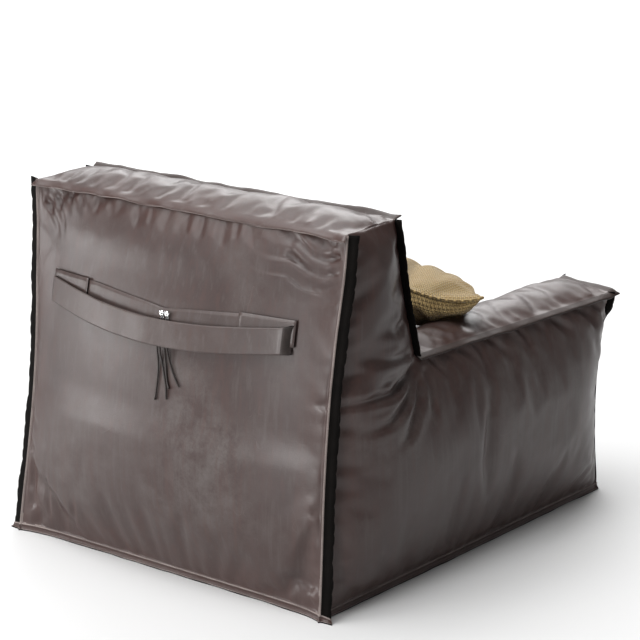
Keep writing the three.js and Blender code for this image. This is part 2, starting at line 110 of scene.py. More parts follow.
@dataclass(frozen=True)
class SeamLines:
    """Where the panels meet, in metres."""

    height: float = 0.780
    arm_z: float = 0.486
    ear_z: float = 0.498
    seat_front_z: float = 0.366
    seat_rear_z: float = 0.398
    lift: float = 0.016
    pinch_z: float = 0.253
    rear_half_width: float = 0.414
    rear_crown: float = 0.072
    cad_rear_half: float = 0.431
    notch_y: float = 0.193
    notch_half: float = 0.424
    seat_half: float = 0.291
    ear_half: float = 0.348
    arm_rear_half: float = 0.318

    def rear_y(self, z: float) -> float:
        """Seam plane at the rear."""
        return mix(0.492, 0.404, z / self.height)

    def front_y(self, z: float) -> float:
        """Seam plane at the front."""
        return mix(-0.500, -0.476, z / self.arm_z)

    def backrest_y(self, z: float) -> float:
        """Seam plane of the backrest's front."""
        return mix(self.notch_y, 0.250, (z - self.arm_z) / (self.height - self.arm_z))

    def rear_half(self, z: float) -> float:
        """Half width at the rear, pulled in at the waist."""
        return self.rear_half_width + 0.004 - 0.018 * arch(z / self.height) ** 1.3

    def front_half(self, z: float) -> float:
        """Half width at the front."""
        return mix(0.452, 0.480, clamp01(z / self.arm_z)) - 0.018 * arch(z / self.arm_z)

    def backrest_half(self, z: float) -> float:
        """Half width at the backrest's front."""
        up = clamp01((z - self.arm_z) / (self.height - self.arm_z))
        return mix(self.notch_half, 0.412, up) - 0.006 * arch(up)

    def arm_half(self, y: float) -> float:
        """Half width along an arm's outer seam."""
        ahead = clamp01((self.notch_y - y) / (self.notch_y - self.front_y(self.arm_z)))
        return mix(self.notch_half, 0.484, ahead)

    def panel_y(self, x: float, z: float) -> float:
        """The rear panel's CAD surface, which the zip and the strap follow."""
        up = clamp01((z - self.lift) / (self.height - self.lift))
        across = clamp01(abs(x) / self.cad_rear_half)
        return self.rear_y(z) + self.rear_crown * (1 - across * across) * 4 * up * (1 - up)

    def side_half(self, y: float, z: float) -> float:
        """Half width of the uncrowned side at a point."""
        low = clamp01((y - self.front_y(0)) / (self.rear_y(z) - self.front_y(0)))
        foot = mix(0.452, self.rear_half(0), low)
        back = clamp01((y - self.backrest_y(z)) / (self.rear_y(z) - self.backrest_y(z)))
        seam = self.arm_half(y)
        if y >= self.notch_y:
            seam = mix(self.backrest_half(z), self.rear_half(z), back)
        base = mix(foot, seam, clamp01(z / self.arm_z))
        return base - 0.018 * arch(z / self.arm_z) * clamp01((self.notch_y - y) / 0.5)


SEAMS = SeamLines()


@dataclass(frozen=True)
class Lattice:
    """The cover laid out as blocks: -2, -1, 1, 2 across, 0 to 2 back, 0 to 3 up."""

    across: tuple[int, int, int] = (11, 48, 11)
    back: tuple[int, int] = (54, 18)
    up: tuple[int, int, int] = (30, 10, 25)

    def blocks(self) -> list[tuple[Vector, Vector]]:
        """Low and high corner of each filled block."""
        columns = ((-2, -1), (-1, 1), (1, 2))
        cells = []
        for x0, x1 in columns:
            for z0 in range(3):
                cells.append((Vector((x0, 1, z0)), Vector((x1, 2, z0 + 1))))
            cells.append((Vector((x0, 0, 0)), Vector((x1, 1, 1))))
        for x0, x1 in (columns[0], columns[2]):
            cells.append((Vector((x0, 0, 1)), Vector((x1, 1, 2))))
        return cells

    def filled(self, p: Vector) -> bool:
        """Whether a point lies inside the blocks."""
        return any(all(a < c < b for a, c, b in zip(lo, p, hi)) for lo, hi in self.blocks())

    def build(self) -> bmesh.types.BMesh:
        """Closed hull of the blocks, cut into small squares.

        Returns:
            A mesh with its corners at lattice coordinates.
        """
        bm = bmesh.new()
        for lo, hi in self.blocks():
            size = Matrix.Diagonal((*(hi - lo), 1))
            bmesh.ops.create_cube(bm, size=1, matrix=Matrix.Translation((lo + hi) / 2) @ size)
        bmesh.ops.remove_doubles(bm, verts=bm.verts, dist=1e-4)
        bm.normal_update()
        buried = []
        for face in bm.faces:
            middle = face.calc_center_median()
            step = face.normal * 0.1
            if self.filled(middle + step) and self.filled(middle - step):
                buried.append(face)
        bmesh.ops.delete(bm, geom=buried, context="FACES")
        cuts = (
            (0, {(-2, -1): self.across[0], (-1, 1): self.across[1], (1, 2): self.across[2]}),
            (1, {(0, 1): self.back[0], (1, 2): self.back[1]}),
            (2, {(0, 1): self.up[0], (1, 2): self.up[1], (2, 3): self.up[2]}),
        )
        for axis, spans in cuts:
            for (low, high), count in spans.items():
                edges = [e for e in bm.edges if self.spans(e, axis, low, high)]
                bmesh.ops.subdivide_edges(bm, edges=edges, cuts=count - 1, use_grid_fill=True)
        bmesh.ops.recalc_face_normals(bm, faces=bm.faces)
        return bm

    @staticmethod
    def spans(edge: bmesh.types.BMEdge, axis: int, low: float, high: float) -> bool:
        """Whether an edge runs along an axis from low to high."""
        a, b = sorted(v.co[axis] for v in edge.verts)
        return abs(a - low) < 1e-4 and abs(b - high) < 1e-4


class CoverShape:
    """Turns lattice coordinates into the sewn chair's shape."""

    def label(self, normal: Vector, at: Vector) -> Panel:
        """The panel that a square of the lattice belongs to."""
        if normal.y > 0.5:
            return Panel.REAR
        if normal.z < -0.5:
            return Panel.BASE
        if abs(normal.x) > 0.5:
            if abs(at.x) > 1.5:
                return Panel.LEFT_SIDE if at.x > 0 else Panel.RIGHT_SIDE
            return Panel.LEFT_ARM if at.x > 0 else Panel.RIGHT_ARM
        if normal.y < -0.5:
            return Panel.FRONT if at.y < 0.5 else Panel.BACKREST
        if at.z > 2.5:
            return Panel.TOP
        if abs(at.x) > 1:
            return Panel.LEFT_ARM if at.x > 0 else Panel.RIGHT_ARM
        return Panel.SEAT

    def seam_point(self, p: Vector) -> Vector:
        """A lattice point on the flat-sided shape, before any crown.

        Args:
            p: lattice coordinates.

        Returns:
            The place in metres.
        """
        u, v, w = p
        ahead = clamp01(1 - v)
        inner = clamp01(2 - abs(u))
        seat_z = mix(SEAMS.seat_rear_z, SEAMS.seat_front_z, ahead)
        arm_z = mix(SEAMS.arm_z, mix(SEAMS.arm_z, SEAMS.ear_z, ahead), inner)
        if w <= 1:
            z = mix(SEAMS.lift, seat_z, w)
        elif w <= 2:
            z = mix(seat_z, arm_z, w - 1)
        else:
            z = mix(arm_z, SEAMS.height, w - 2)
        middle_y = SEAMS.backrest_y(max(z, SEAMS.seat_rear_z))
        if v <= 1:
            y = mix(SEAMS.front_y(z), middle_y, v)
        else:
            y = mix(middle_y, SEAMS.rear_y(z), v - 1)
        outer = SEAMS.side_half(y, z)
        if v > 1.999:
            outer = SEAMS.rear_half(z)
        elif v < 0.001:
            outer = SEAMS.front_half(z)
        mid = self.inner_half(v, w)
        x = mix(mid, outer, abs(u) - 1) if abs(u) > 1 else mid * abs(u)
        if v > 1:
            y += 0.013 * (v - 1) * (x / SEAMS.rear_half_width) ** 10
        return Vector((math.copysign(x, u), y, z))

    def inner_half(self, v: float, w: float) -> float:
        """Half width at the arms' inner faces."""
        ahead = clamp01(1 - v)
        at_arm = mix(SEAMS.arm_rear_half, SEAMS.ear_half, ahead)
        if w <= 1:
            return SEAMS.seat_half
        if w <= 2:
            return mix(SEAMS.seat_half, at_arm, (w - 1) ** 1.2)
        return mix(at_arm, 0.300, w - 2)

    def crown(self, panel: Panel, p: Vector, at: Vector) -> Vector:
        """How far a panel stands proud of its flat seam shape at a point.

        Args:
            panel: the panel.
            p: lattice coordinates.
            at: the place on the flat-sided shape.

        Returns:
            The shift in metres.
        """
        u, v, w = p
        x, y, z = at
        side = math.copysign(1, u)
        if panel is Panel.REAR:
            return Vector((0, SEAMS.panel_y(x, z) - SEAMS.rear_y(z), 0))
        if panel is Panel.TOP:
            rise = 0.020 * arch(v - 1) * swell(SEAMS.rear_half_width - abs(x), 0.15)
            return Vector((0, 0, rise))
        if panel in (Panel.LEFT_SIDE, Panel.RIGHT_SIDE):
            return Vector((side * 0.040 * swell(self.side_inset(y, z), 0.13), 0, 0))
        if panel is Panel.BASE:
            inset = min(SEAMS.side_half(y, 0) - abs(x), y - SEAMS.front_y(0), SEAMS.rear_y(0) - y)
            return Vector((0, 0, -(SEAMS.lift - 0.001) * swell(inset, 0.10)))
        if panel is Panel.BACKREST:
            return Vector((0, -0.044 * swell(self.backrest_inset(x, z), 0.17), 0))
        if panel is Panel.SEAT:
            inset = min(SEAMS.seat_half - abs(x), y - SEAMS.front_y(z), SEAMS.backrest_y(0.398) - y)
            return Vector((0, 0, 0.048 * swell(inset, 0.19)))
        if panel is Panel.FRONT:
            return Vector((0, self.front_bulge(x, z), 0))
        endwise = min(y - SEAMS.front_y(z), SEAMS.backrest_y(z) - y)
        bow = 0.018 * swell(endwise, 0.12)
        if abs(u) > 1.001:
            return Vector((0, 0, bow * arch((2 - abs(u)) * 0.8)))
        return Vector((-side * bow * arch((w - 1) * 0.8), 0, 0))

    def side_inset(self, y: float, z: float) -> float:
        """Distance from the side panel's nearest seam."""
        rear = SEAMS.rear_y(z) - y
        front = y - (SEAMS.backrest_y(z) if z > SEAMS.arm_z else SEAMS.front_y(z))
        top = (SEAMS.arm_z if y < SEAMS.notch_y else SEAMS.height) - z
        corner = math.inf
        if z <= SEAMS.arm_z and y >= SEAMS.notch_y - 0.001:
            corner = math.hypot(max(0.0, SEAMS.notch_y - y), SEAMS.arm_z - z)
            corner = math.hypot(y - SEAMS.notch_y, SEAMS.arm_z - z) if z > 0.3 else corner
        return max(0.0, min(rear, front, top, z - SEAMS.lift, corner))

    def backrest_inset(self, x: float, z: float) -> float:
        """Distance from the backrest front's nearest seam."""
        inner = SEAMS.arm_rear_half - 0.010
        side = (inner if z < SEAMS.arm_z else SEAMS.backrest_half(z)) - abs(x)
        foot = z - (SEAMS.arm_z if abs(x) > inner else SEAMS.seat_rear_z)
        shoulder = math.hypot(max(0.0, inner - abs(x)), max(0.0, z - SEAMS.arm_z))
        if abs(x) > inner:
            shoulder = math.inf
        return max(0.0, min(side, foot, SEAMS.height - z, shoulder))

    def front_bulge(self, x: float, z: float) -> float:
        """Crown of the front panel, drawn in at the two pinches."""
        inner = SEAMS.seat_half
        outward = abs(x) > inner
        across = min(SEAMS.front_half(z) - abs(x), abs(x) - inner + 0.06) if outward else inner - abs(x) + 0.06
        top = (SEAMS.arm_z if outward else SEAMS.seat_front_z) - z
        inset = max(0.0, min(across, z - SEAMS.lift, top))
        reach = math.hypot(abs(x) - inner, (z - SEAMS.pinch_z) / 1.6)
        crease = math.exp(-(((abs(x) - inner) / 0.022) ** 2)) * smooth((z - SEAMS.pinch_z + 0.05) / 0.05)
        return -0.024 * swell(inset, 0.12) * (1 - 0.75 * crease) + 0.014 * math.exp(-reach / 0.04)


# ---------- finishes ----------


class Recipe:
    """One procedural material, built node by node."""

    def __init__(self, name: str) -> None:
        """Starts an empty material with its shader and output."""
        self.material = bpy.data.materials.new(name)
        self.material.use_nodes = True
        self.tree = self.material.node_tree
        self.shader = self.tree.nodes["Principled BSDF"]

    def add(self, kind: str, inputs: dict | None = None, **settings: object) -> bpy.types.Node:
        """Adds a node.

        Args:
            kind: the node's type.
            inputs: socket values or sockets to link, by name or index.
            settings: the node's own properties.

        Returns:
            The new node.
        """
        node = self.tree.nodes.new(kind)
        for key, value in settings.items():
            setattr(node, key, value)
        for key, value in (inputs or {}).items():
            self.feed(node.inputs[key], value)
        return node

    def feed(self, socket: bpy.types.NodeSocket, value: object) -> None:
        """Links a socket to another one, or sets its value."""
        if isinstance(value, bpy.types.NodeSocket):
            self.tree.links.new(value, socket)
        else:
            socket.default_value = value

    def place(
        self, scale: Sequence[float] = (1, 1, 1), turn: Sequence[float] = (0, 0, 0)
    ) -> bpy.types.NodeSocket:
        """Object coordinates, scaled and turned."""
        coords = self.add("ShaderNodeTexCoord")
        spread = {"Vector": coords.outputs["Object"], "Scale": scale, "Rotation": turn}
        mapping = self.add("ShaderNodeMapping", spread)
        return mapping.outputs["Vector"]

    def noise(
        self, scale: float, detail: float = 3.0, at: object = None, **inputs: float
    ) -> bpy.types.NodeSocket:
        """Noise value at object coordinates."""
        values = {"Vector": at or self.place(), "Scale": scale, "Detail": detail}
        values.update({key.capitalize(): value for key, value in inputs.items()})
        return self.add("ShaderNodeTexNoise", values).outputs["Fac"]

    def band(self, value: bpy.types.NodeSocket, low: float, high: float) -> bpy.types.NodeSocket:
        """Stretches low..high to 0..1, clamped."""
        node = self.add("ShaderNodeMapRange", {"Value": value, "From Min": low, "From Max": high})
        return node.outputs["Result"]

    def sum(self, kind: str, a: object, b: object) -> bpy.types.NodeSocket:
        """A maths node on two values."""
        return self.add("ShaderNodeMath", {0: a, 1: b}, operation=kind).outputs[0]

    def plus(self, a: object, b: object) -> bpy.types.NodeSocket:
        """a + b."""
        return self.sum("ADD", a, b)

    def times(self, a: object, b: object) -> bpy.types.NodeSocket:
        """a * b."""
        return self.sum("MULTIPLY", a, b)

    def blend(self, factor: object, a: object, b: object) -> bpy.types.NodeSocket:
        """Mixes two colours."""
        node = self.add("ShaderNodeMix", data_type="RGBA")
        self.feed(node.inputs[0], factor)
        self.feed(node.inputs[6], a)
        self.feed(node.inputs[7], b)
        return node.outputs[2]

    def bump(self, layers: Iterable[tuple[bpy.types.NodeSocket, float, float]]) -> None:
        """Stacks bump layers of (height, strength, distance) on the shader."""
        normal = None
        for height, strength, distance in layers:
            values = {"Height": height, "Strength": strength, "Distance": distance}
            if normal is not None:
                values["Normal"] = normal
            normal = self.add("ShaderNodeBump", values).outputs["Normal"]
        self.feed(self.shader.inputs["Normal"], normal)

    def dress(self, **values: object) -> bpy.types.Material:
        """Sets shader inputs, with _ for a space in their names."""
        for key, value in values.items():
            self.feed(self.shader.inputs[key.replace("_", " ")], value)
        return self.material


@dataclass(frozen=True)
class Hide:
    """Aged semi-gloss hide with patina, scuffs and fine grain."""

    name: str
    deep: Colour = (0.022, 0.013, 0.012, 1)
    main: Colour = (0.039, 0.0225, 0.020, 1)
    worn: Colour = (0.072, 0.058, 0.054, 1)
    russet: Colour = (0.056, 0.026, 0.021, 1)
    gloss: float = 0.40

    def build(self) -> bpy.types.Material:
        """Makes the material.

        Returns:
            The hide.
        """
        r = Recipe(self.name)
        cloud = r.noise(3.4, 3.0, roughness=0.5)
        mottle = r.noise(21.0, 8.0, roughness=0.68)
        streak = r.noise(1.0, 5.0, at=r.place((80, 80, 3.0)), roughness=0.6)
        grain = r.add("ShaderNodeTexVoronoi", {"Vector": r.place(), "Scale": 620.0}).outputs["Distance"]
        pores = r.noise(240.0, 4.0, roughness=0.7)
        sets = ((6.0, (0.3, 0.2, 0.7)), (9.0, (1.1, 0.8, 0.1)))
        scuffs = [self.scratch(r, scale, turn) for scale, turn in sets]
        scuff = r.sum("MAXIMUM", *scuffs)
        edge = r.add("ShaderNodeAttribute", attribute_name="seam_wear").outputs["Fac"]
        patch = r.times(r.band(cloud, 0.42, 0.66), r.band(mottle, 0.38, 0.64))
        colour = r.blend(patch, self.main, self.worn)
        colour = r.blend(r.times(r.band(cloud, 0.46, 0.30), 0.6), colour, self.deep)
        colour = r.blend(r.times(r.band(streak, 0.50, 0.68), 0.45), colour, self.russet)
        colour = r.blend(r.times(r.band(streak, 0.46, 0.34), 0.30), colour, self.worn)
        colour = r.blend(r.times(edge, 0.55), colour, self.russet)
        colour = r.blend(r.times(scuff, 0.55), colour, self.worn)
        colour = r.blend(r.times(r.band(pores, 0.52, 0.70), 0.25), colour, self.deep)
        rough = r.plus(r.times(mottle, 0.20), self.gloss - 0.10)
        rough = r.plus(rough, r.times(patch, 0.07))
        r.bump(
            (
                (r.noise(8.0, 3.0, roughness=0.5), 0.25, 0.006),
                (streak, 0.10, 0.002),
                (mottle, 0.16, 0.0016),
                (pores, 0.22, 0.0003),
                (grain, 0.20, 0.0003),
                (scuff, 0.25, 0.0003),
            )
        )
        return r.dress(
            Base_Color=colour, Roughness=rough, Specular_IOR_Level=0.44, Coat_Weight=0.08, Coat_Roughness=0.30
        )

    def scratch(self, r: Recipe, scale: float, turn: tuple[float, float, float]) -> bpy.types.NodeSocket:
        """Thin broken lines, as of fingernails and buckles.

        Args:
            r: the material being built.
            scale: how close the lines lie.
            turn: how they are turned.

        Returns:
            1 on a line and 0 elsewhere.
        """
        line = r.noise(scale, 1.5, at=r.place((1.0, 0.35, 0.6), turn), distortion=1.2)
        thin = r.band(r.sum("ABSOLUTE", r.sum("SUBTRACT", line, 0.5), 0.0), 0.0016, 0.0)
        return r.times(thin, r.band(r.noise(scale * 2.3, 2.0), 0.50, 0.62))


@dataclass(frozen=True)
class EdgeFinish:
    """Dyed or raw edge of the hide."""

    name: str
    dark: Colour
    light: Colour
    rough: float = 0.6
    shine: float = 0.4

    def build(self) -> bpy.types.Material:
        """Makes the material.

        Returns:
            The edge finish.
        """
        r = Recipe(self.name)
        fibre = r.noise(420.0, 4.0, roughness=0.7)
        drift = r.noise(24.0, 4.0)
        fac = r.band(r.plus(r.times(fibre, 0.5), r.times(drift, 0.5)), 0.35, 0.65)
        r.bump(((fibre, 0.4, 0.0004), (drift, 0.3, 0.002)))
        rough = r.plus(r.times(fibre, 0.2), self.rough - 0.1)
        colour = r.blend(fac, self.dark, self.light)
        return r.dress(Base_Color=colour, Roughness=rough, Specular_IOR_Level=self.shine)


@dataclass(frozen=True)
class PolishedMetal:
    """Nickel plating with faint handling marks."""

    name: str = "polished_nickel"

    def build(self) -> bpy.types.Material:
        """Makes the material.

        Returns:
            The metal.
        """
        r = Recipe(self.name)
        smear = r.noise(160.0, 3.0)
        marks = r.noise(900.0, 2.0)
        colour = r.blend(smear, (0.78, 0.78, 0.79, 1), (0.92, 0.92, 0.93, 1))
        r.bump(((marks, 0.05, 0.0001),))
        rough = r.plus(r.times(smear, 0.16), 0.06)
        return r.dress(Base_Color=colour, Roughness=rough, Metallic=1.0)


@dataclass(frozen=True)
class PlainCloth:
    """Plain cloth with a fine over-and-under weave, in object coordinates."""

    name: str
    shade: Colour
    tint: Colour
    pitch: float = 1400.0

    def build(self) -> bpy.types.Material:
        """Makes the material.

        Returns:
            The cloth.
        """
        r = Recipe(self.name)
        waves = [
            r.add(
                "ShaderNodeTexWave",
                {"Vector": r.place(), "Scale": self.pitch / 20, "Distortion": 0.6},
                bands_direction=direction,
            ).outputs["Fac"]
            for direction in "XZ"
        ]
        threads = r.times(*waves)
        fuzz = r.noise(90.0, 4.0)
        # Colour follows the threads: the shade colour where the waves dip paints the shade between threads, and
        # the fuzz adds uneven tone.
        colour = r.blend(r.times(r.plus(threads, fuzz), 0.5), self.shade, self.tint)
        r.bump(((threads, 0.4, 0.0004), (fuzz, 0.3, 0.001)))
        return r.dress(Base_Color=colour, Roughness=r.plus(r.times(fuzz, 0.2), 0.75))


@dataclass(frozen=True)
class BeadFinish:
    """Loose foam beads pressed together."""

    name: str = "foam_beads"

    def build(self) -> bpy.types.Material:
        """Makes the material.

        Returns:
            The bead finish.
        """
        r = Recipe(self.name)
        bead = r.add("ShaderNodeTexVoronoi", {"Vector": r.place(), "Scale": 260.0}).outputs["Distance"]
        # Darker towards each bead's rim: painted shade in the gaps between the beads.
        colour = r.blend(r.band(bead, 0.2, 0.8), (0.88, 0.88, 0.86, 1), (0.45, 0.45, 0.43, 1))
        r.bump(((bead, 0.9, -0.003),))
        return r.dress(Base_Color=colour, Roughness=r.plus(r.times(bead, 0.2), 0.7))


@dataclass(frozen=True)
class BasketWeave:
    """Coarse ochre basket weave that follows the piece's own map."""

    name: str = "ochre_basket_weave"
    threads: float = 96.0

    def build(self) -> bpy.types.Material:
        """Makes the material.

        Returns:
            The weave.
        """
        r = Recipe(self.name)
        uv = r.add("ShaderNodeUVMap", uv_map="weave").outputs["UV"]
        threads = (self.threads, self.threads, 1)
        fine = r.add("ShaderNodeMapping", {"Vector": uv, "Scale": threads}).outputs["Vector"]
        split = r.add("ShaderNodeSeparateXYZ", {"Vector": fine})
        across, along = split.outputs["X"], split.outputs["Y"]
        checks = r.add("ShaderNodeTexChecker", {"Vector": fine, "Scale": 1.0}).outputs["Fac"]
        yarn_a = r.sum("ABSOLUTE", r.sum("SINE", r.times(across, math.pi), 0.0), 0.0)
        yarn_b = r.sum("ABSOLUTE", r.sum("SINE", r.times(along, math.pi), 0.0), 0.0)
        over = r.times(checks, yarn_a)
        under = r.times(r.sum("SUBTRACT", 1.0, checks), yarn_b)
        height = r.plus(over, under)
        fuzz = r.noise(700.0, 4.0, roughness=0.7)
        slub = r.noise(60.0, 4.0, roughness=0.6)
        # Colour follows the yarn height: darker where the yarns dip, which paints the shade between them, while
        # the fuzz and the slub add the yarn's own uneven tone.
        fac = r.plus(r.times(height, 0.75), r.times(fuzz, 0.25))
        colour = r.blend(r.band(fac, 0.25, 0.95), (0.16, 0.105, 0.038, 1), (0.44, 0.31, 0.125, 1))
        colour = r.blend(r.times(r.band(slub, 0.45, 0.7), 0.45), colour, (0.30, 0.18, 0.055, 1))
        r.bump(((height, 0.9, 0.0022), (fuzz, 0.5, 0.0006)))
        return r.dress(Base_Color=colour, Roughness=r.plus(r.times(slub, 0.15), 0.8), Sheen_Weight=0.25)


class Wardrobe:
    """Every finish of the chair, made once."""

    def __init__(self) -> None:
        """Builds the materials."""
        self.hide = Hide("brown_hide").build()
        # The lips' hide is the panels' own leather made darker and duller: painted shade for the lips, which
        # stand in shade.
        self.lip_hide_painted_shade = Hide(
            "lip_hide_painted_shade",
            deep=(0.012, 0.008, 0.007, 1),
            main=(0.024, 0.015, 0.013, 1),
            worn=(0.044, 0.034, 0.031, 1),
            russet=(0.034, 0.017, 0.013, 1),
            gloss=0.66,
        ).build()
        self.strap_hide = Hide(
            "strap_hide", main=(0.052, 0.036, 0.033, 1), worn=(0.090, 0.075, 0.070, 1)
        ).build()
        self.cut = EdgeFinish("cut_hide_edge", (0.11, 0.085, 0.078, 1), (0.24, 0.20, 0.185, 1)).build()
        self.dark_cut = EdgeFinish("dark_hide_edge", (0.012, 0.008, 0.007, 1), (0.035, 0.024, 0.021, 1)).build()
        # Near-black matte finish for the black lips and dyed edges. It also paints the shade of the gutters
        # beside the rear's outer seams, and the dark line of shade along the zip band's head.
        self.black = EdgeFinish(
            "black_edge_and_painted_shade", (0.002, 0.0017, 0.0015, 1), (0.005, 0.004, 0.0035, 1), rough=0.9, shine=0.08
        ).build()
        self.thong = EdgeFinish("dark_thonging", (0.008, 0.005, 0.004, 1), (0.03, 0.02, 0.017, 1), 0.42).build()
        self.metal = PolishedMetal().build()
        self.zip_cloth = PlainCloth("zip_cloth", (0.008, 0.008, 0.009, 1), (0.03, 0.03, 0.032, 1)).build()
        self.liner = PlainCloth("liner_cloth", (0.55, 0.53, 0.49, 1), (0.8, 0.78, 0.73, 1)).build()
        self.pad = PlainCloth("pad_cloth", (0.7, 0.69, 0.66, 1), (0.88, 0.87, 0.84, 1)).build()
        self.beads = BeadFinish().build()
        self.weave = BasketWeave().build()


# ---------- shared mesh helpers ----------


def publish(name: str, bm: bmesh.types.BMesh, materials: Sequence[bpy.types.Material]) -> bpy.types.Object:
    """Turns a finished bmesh into a smooth-shaded object at the origin.

    Args:
        name: the piece's name.
        bm: its mesh, which is freed.
        materials: its material slots in order.

    Returns:
        The new object.
    """
    mesh = bpy.data.meshes.new(name)
    bm.to_mesh(mesh)
    bm.free()
    for material in materials:
        mesh.materials.append(material)
    mesh.shade_smooth()
    piece = bpy.data.objects.new(name, mesh)
    bpy.context.scene.collection.objects.link(piece)
    return piece


def round_off(piece: bpy.types.Object, levels: int = 1) -> None:
    """Adds a subdivision that shows the same in views and renders."""
    rounding = piece.modifiers.new("rounding", "SUBSURF")
    rounding.levels = levels
    rounding.render_levels = levels


def finish_wall(
    piece: bpy.types.Object, thickness: float, rim: int = 0, levels: int = 1, offset: float = -1
) -> None:
    """Rounds a sheet once or more and gives it a wall.

    Args:
        piece: the sheet.
        thickness: wall in metres.
        rim: how many slots further the rim's material lies.
        levels: subdivision levels.
        offset: where the wall lies, from -1 behind to 1 in front.
    """
    if levels:
        round_off(piece, levels)
    wall = piece.modifiers.new("wall", "SOLIDIFY")
    wall.thickness = thickness
    wall.offset = offset
    wall.material_offset_rim = rim


def sheet_mesh(columns: int, rows: int, place: Place) -> bmesh.types.BMesh:
    """A grid draped over a surface.

    Args:
        columns: squares along the first way.
        rows: squares along the second way.
        place: the surface, from two numbers between 0 and 1.

    Returns:
        The draped grid.
    """
    bm = bmesh.new()
    bmesh.ops.create_grid(bm, x_segments=columns, y_segments=rows, size=0.5)
    for vertex in bm.verts:
        vertex.co = place(vertex.co.x + 0.5, vertex.co.y + 0.5)
    return bm


def turn_towards(bm: bmesh.types.BMesh, outward: Vector) -> None:
    """Flips an open sheet whose faces mostly look away from a direction."""
    bm.normal_update()
    if sum(face.normal.dot(outward) * face.calc_area() for face in bm.faces) < 0:
        bmesh.ops.reverse_faces(bm, faces=bm.faces)


@dataclass(frozen=True)
class ClothRun:
    """Settings of one inflation."""

    frames: int
    pressure: float
    slack: float
    bending: float
    cap: float

    def run(self, piece: bpy.types.Object, pins: str | None) -> None:
        """Blows the piece up and keeps the result, with no point moved past the cap.

        Args:
            piece: a closed mesh.
            pins: name of the vertex group that stays put.
        """
        start = [v.co.copy() for v in piece.data.vertices]
        cloth = piece.modifiers.new("cloth", "CLOTH")
        settings = cloth.settings
        settings.quality = 5
        settings.mass = 0.4
        settings.air_damping = 2.0
        settings.tension_stiffness = 25
        settings.compression_stiffness = 25
        settings.shear_stiffness = 12
        settings.bending_stiffness = self.bending
        settings.tension_damping = 8
        settings.compression_damping = 8
        settings.shear_damping = 8
        settings.bending_damping = 1.0
        settings.shrink_min = -self.slack
        settings.use_pressure = True
        settings.uniform_pressure_force = self.pressure
        settings.effector_weights.gravity = 0
        if pins:
            settings.vertex_group_mass = pins
        cloth.point_cache.frame_start = 1
        cloth.point_cache.frame_end = self.frames
        scene = bpy.context.scene
        for step in range(1, self.frames + 1):
            scene.frame_set(step)
        graph = bpy.context.evaluated_depsgraph_get()
        blown = piece.evaluated_get(graph).data
        ends = [v.co.copy() for v in blown.vertices]
        piece.modifiers.remove(cloth)
        scene.frame_set(1)
        for vertex, before, after in zip(piece.data.vertices, start, ends):
            move = after - before
            if move.length > self.cap:
                move *= self.cap / move.length
            vertex.co = before + move
        piece.data.update()


# ---------- the cover ----------


@dataclass(frozen=True)
class Lip:
    """Raw seam edge that stands past a seam.

    Fields:
        owner: the panel that it belongs to.
        on_seam: tells from lattice coordinates whether a point is on the seam.
        along: the axis that the seam runs along.
        way: the direction in which it stands at a place.
        face: the direction that its face looks in at a place.
        rows: (reach, rise, material index) steps.
        wave: height of its waves.
        mitre: how far its far corners reach past the seam's two ends.
        notch: how deep the small notches of its border are, as a share of its width.
    """

    owner: Panel
    on_seam: Callable[[Vector], bool]
    along: int
    way: Callable[[Vector], Vector]
    face: Callable[[Vector], Vector]
    rows: tuple[tuple[float, float, int], ...]
    wave: float = 0.0030
    mitre: tuple[float, float] = (0.0, 0.0)
    notch: float = 0.0


@dataclass(frozen=True)
class Fold:
    """A long soft crease pressed into a panel.

    Fields:
        panel: the panel.
        axes: the two axes that the route is given in.
        route: its points, in metres.
        width: half width of the valley.
        depth: depth of the valley at its middle.
    """

    panel: Panel
    axes: tuple[int, int]
    route: tuple[tuple[float, float], ...]
    width: float
    depth: float

    def depth_at(self, at: Vector) -> float:
        """How far the fold moves a point of its panel, out of the panel."""
        p = Vector((at[self.axes[0]], at[self.axes[1]]))
        best, share = math.inf, 0.0
        spans = list(zip(self.route, self.route[1:]))
        for k, (a, b) in enumerate(spans):
            a, b = Vector(a), Vector(b)
            t = clamp01((p - a).dot(b - a) / (b - a).length_squared)
            gap = (p - a.lerp(b, t)).length
            if gap < best:
                best, share = gap, (k + t) / len(spans)
        q = best / self.width
        if q > 3.2:
            return 0.0
        taper = smooth(share / 0.12) * (1 - smooth((share - 0.55) / 0.45))
        return -self.depth * taper * (1 - 1.1 * q * q) * math.exp(-0.8 * q * q)


def always(x: float, y: float, z: float) -> Callable[[Vector], Vector]:
    """The same direction at every place."""
    return lambda place: Vector((x, y, z))


def fold(panel: Panel, width: float, depth: float, *route: float) -> Fold:
    """A fold from millimetres.

    Args:
        panel: the panel.
        width: half width of the valley.
        depth: depth of the valley at its middle.
        route: across and up by turns, where across is X on the rear and the front, and Y elsewhere.

    Returns:
        The fold.
    """
    axes = (0, 2) if panel in (Panel.REAR, Panel.FRONT) else (1, 2)
    points = tuple((across / 1000, up / 1000) for across, up in zip(route[::2], route[1::2]))
    return Fold(panel, axes, points, width / 1000, depth / 1000)


def side_folds() -> list[Fold]:
    """Folds that run out of the notch, and the gathers under the arm's lip, on both side panels."""
    rows: list[tuple[float, ...]] = [
        (12, 10, 200, 478, 250, 455, 310, 440, 400, 437, 480, 428),
        (13, 9, 205, 468, 260, 420, 330, 385, 420, 370),
        (14, 8, 197, 455, 235, 400, 280, 350, 330, 322),
        (13, 6, 180, 465, 185, 400, 205, 340),
        (14, 6, 215, 500, 270, 505, 350, 515, 430, 520),
        (16, 4, 240, 560, 300, 570, 400, 560),
    ]
    for k, y in enumerate((160, 115, 70, 20, -30, -85, -135, -190, -245, -300, -350, -400, -445)):
        lean = k % 3
        low = 418 - 14 * (k % 4)
        depth = (5.5, 2.5, 4.0, 3.2)[k % 4]
        rows.append((9 + 2 * lean, depth, y, 480, y - 20 - 10 * lean, 452, y - 42 - 18 * lean, low))
    return [fold(panel, *row) for row in rows for panel in (Panel.LEFT_SIDE, Panel.RIGHT_SIDE)]


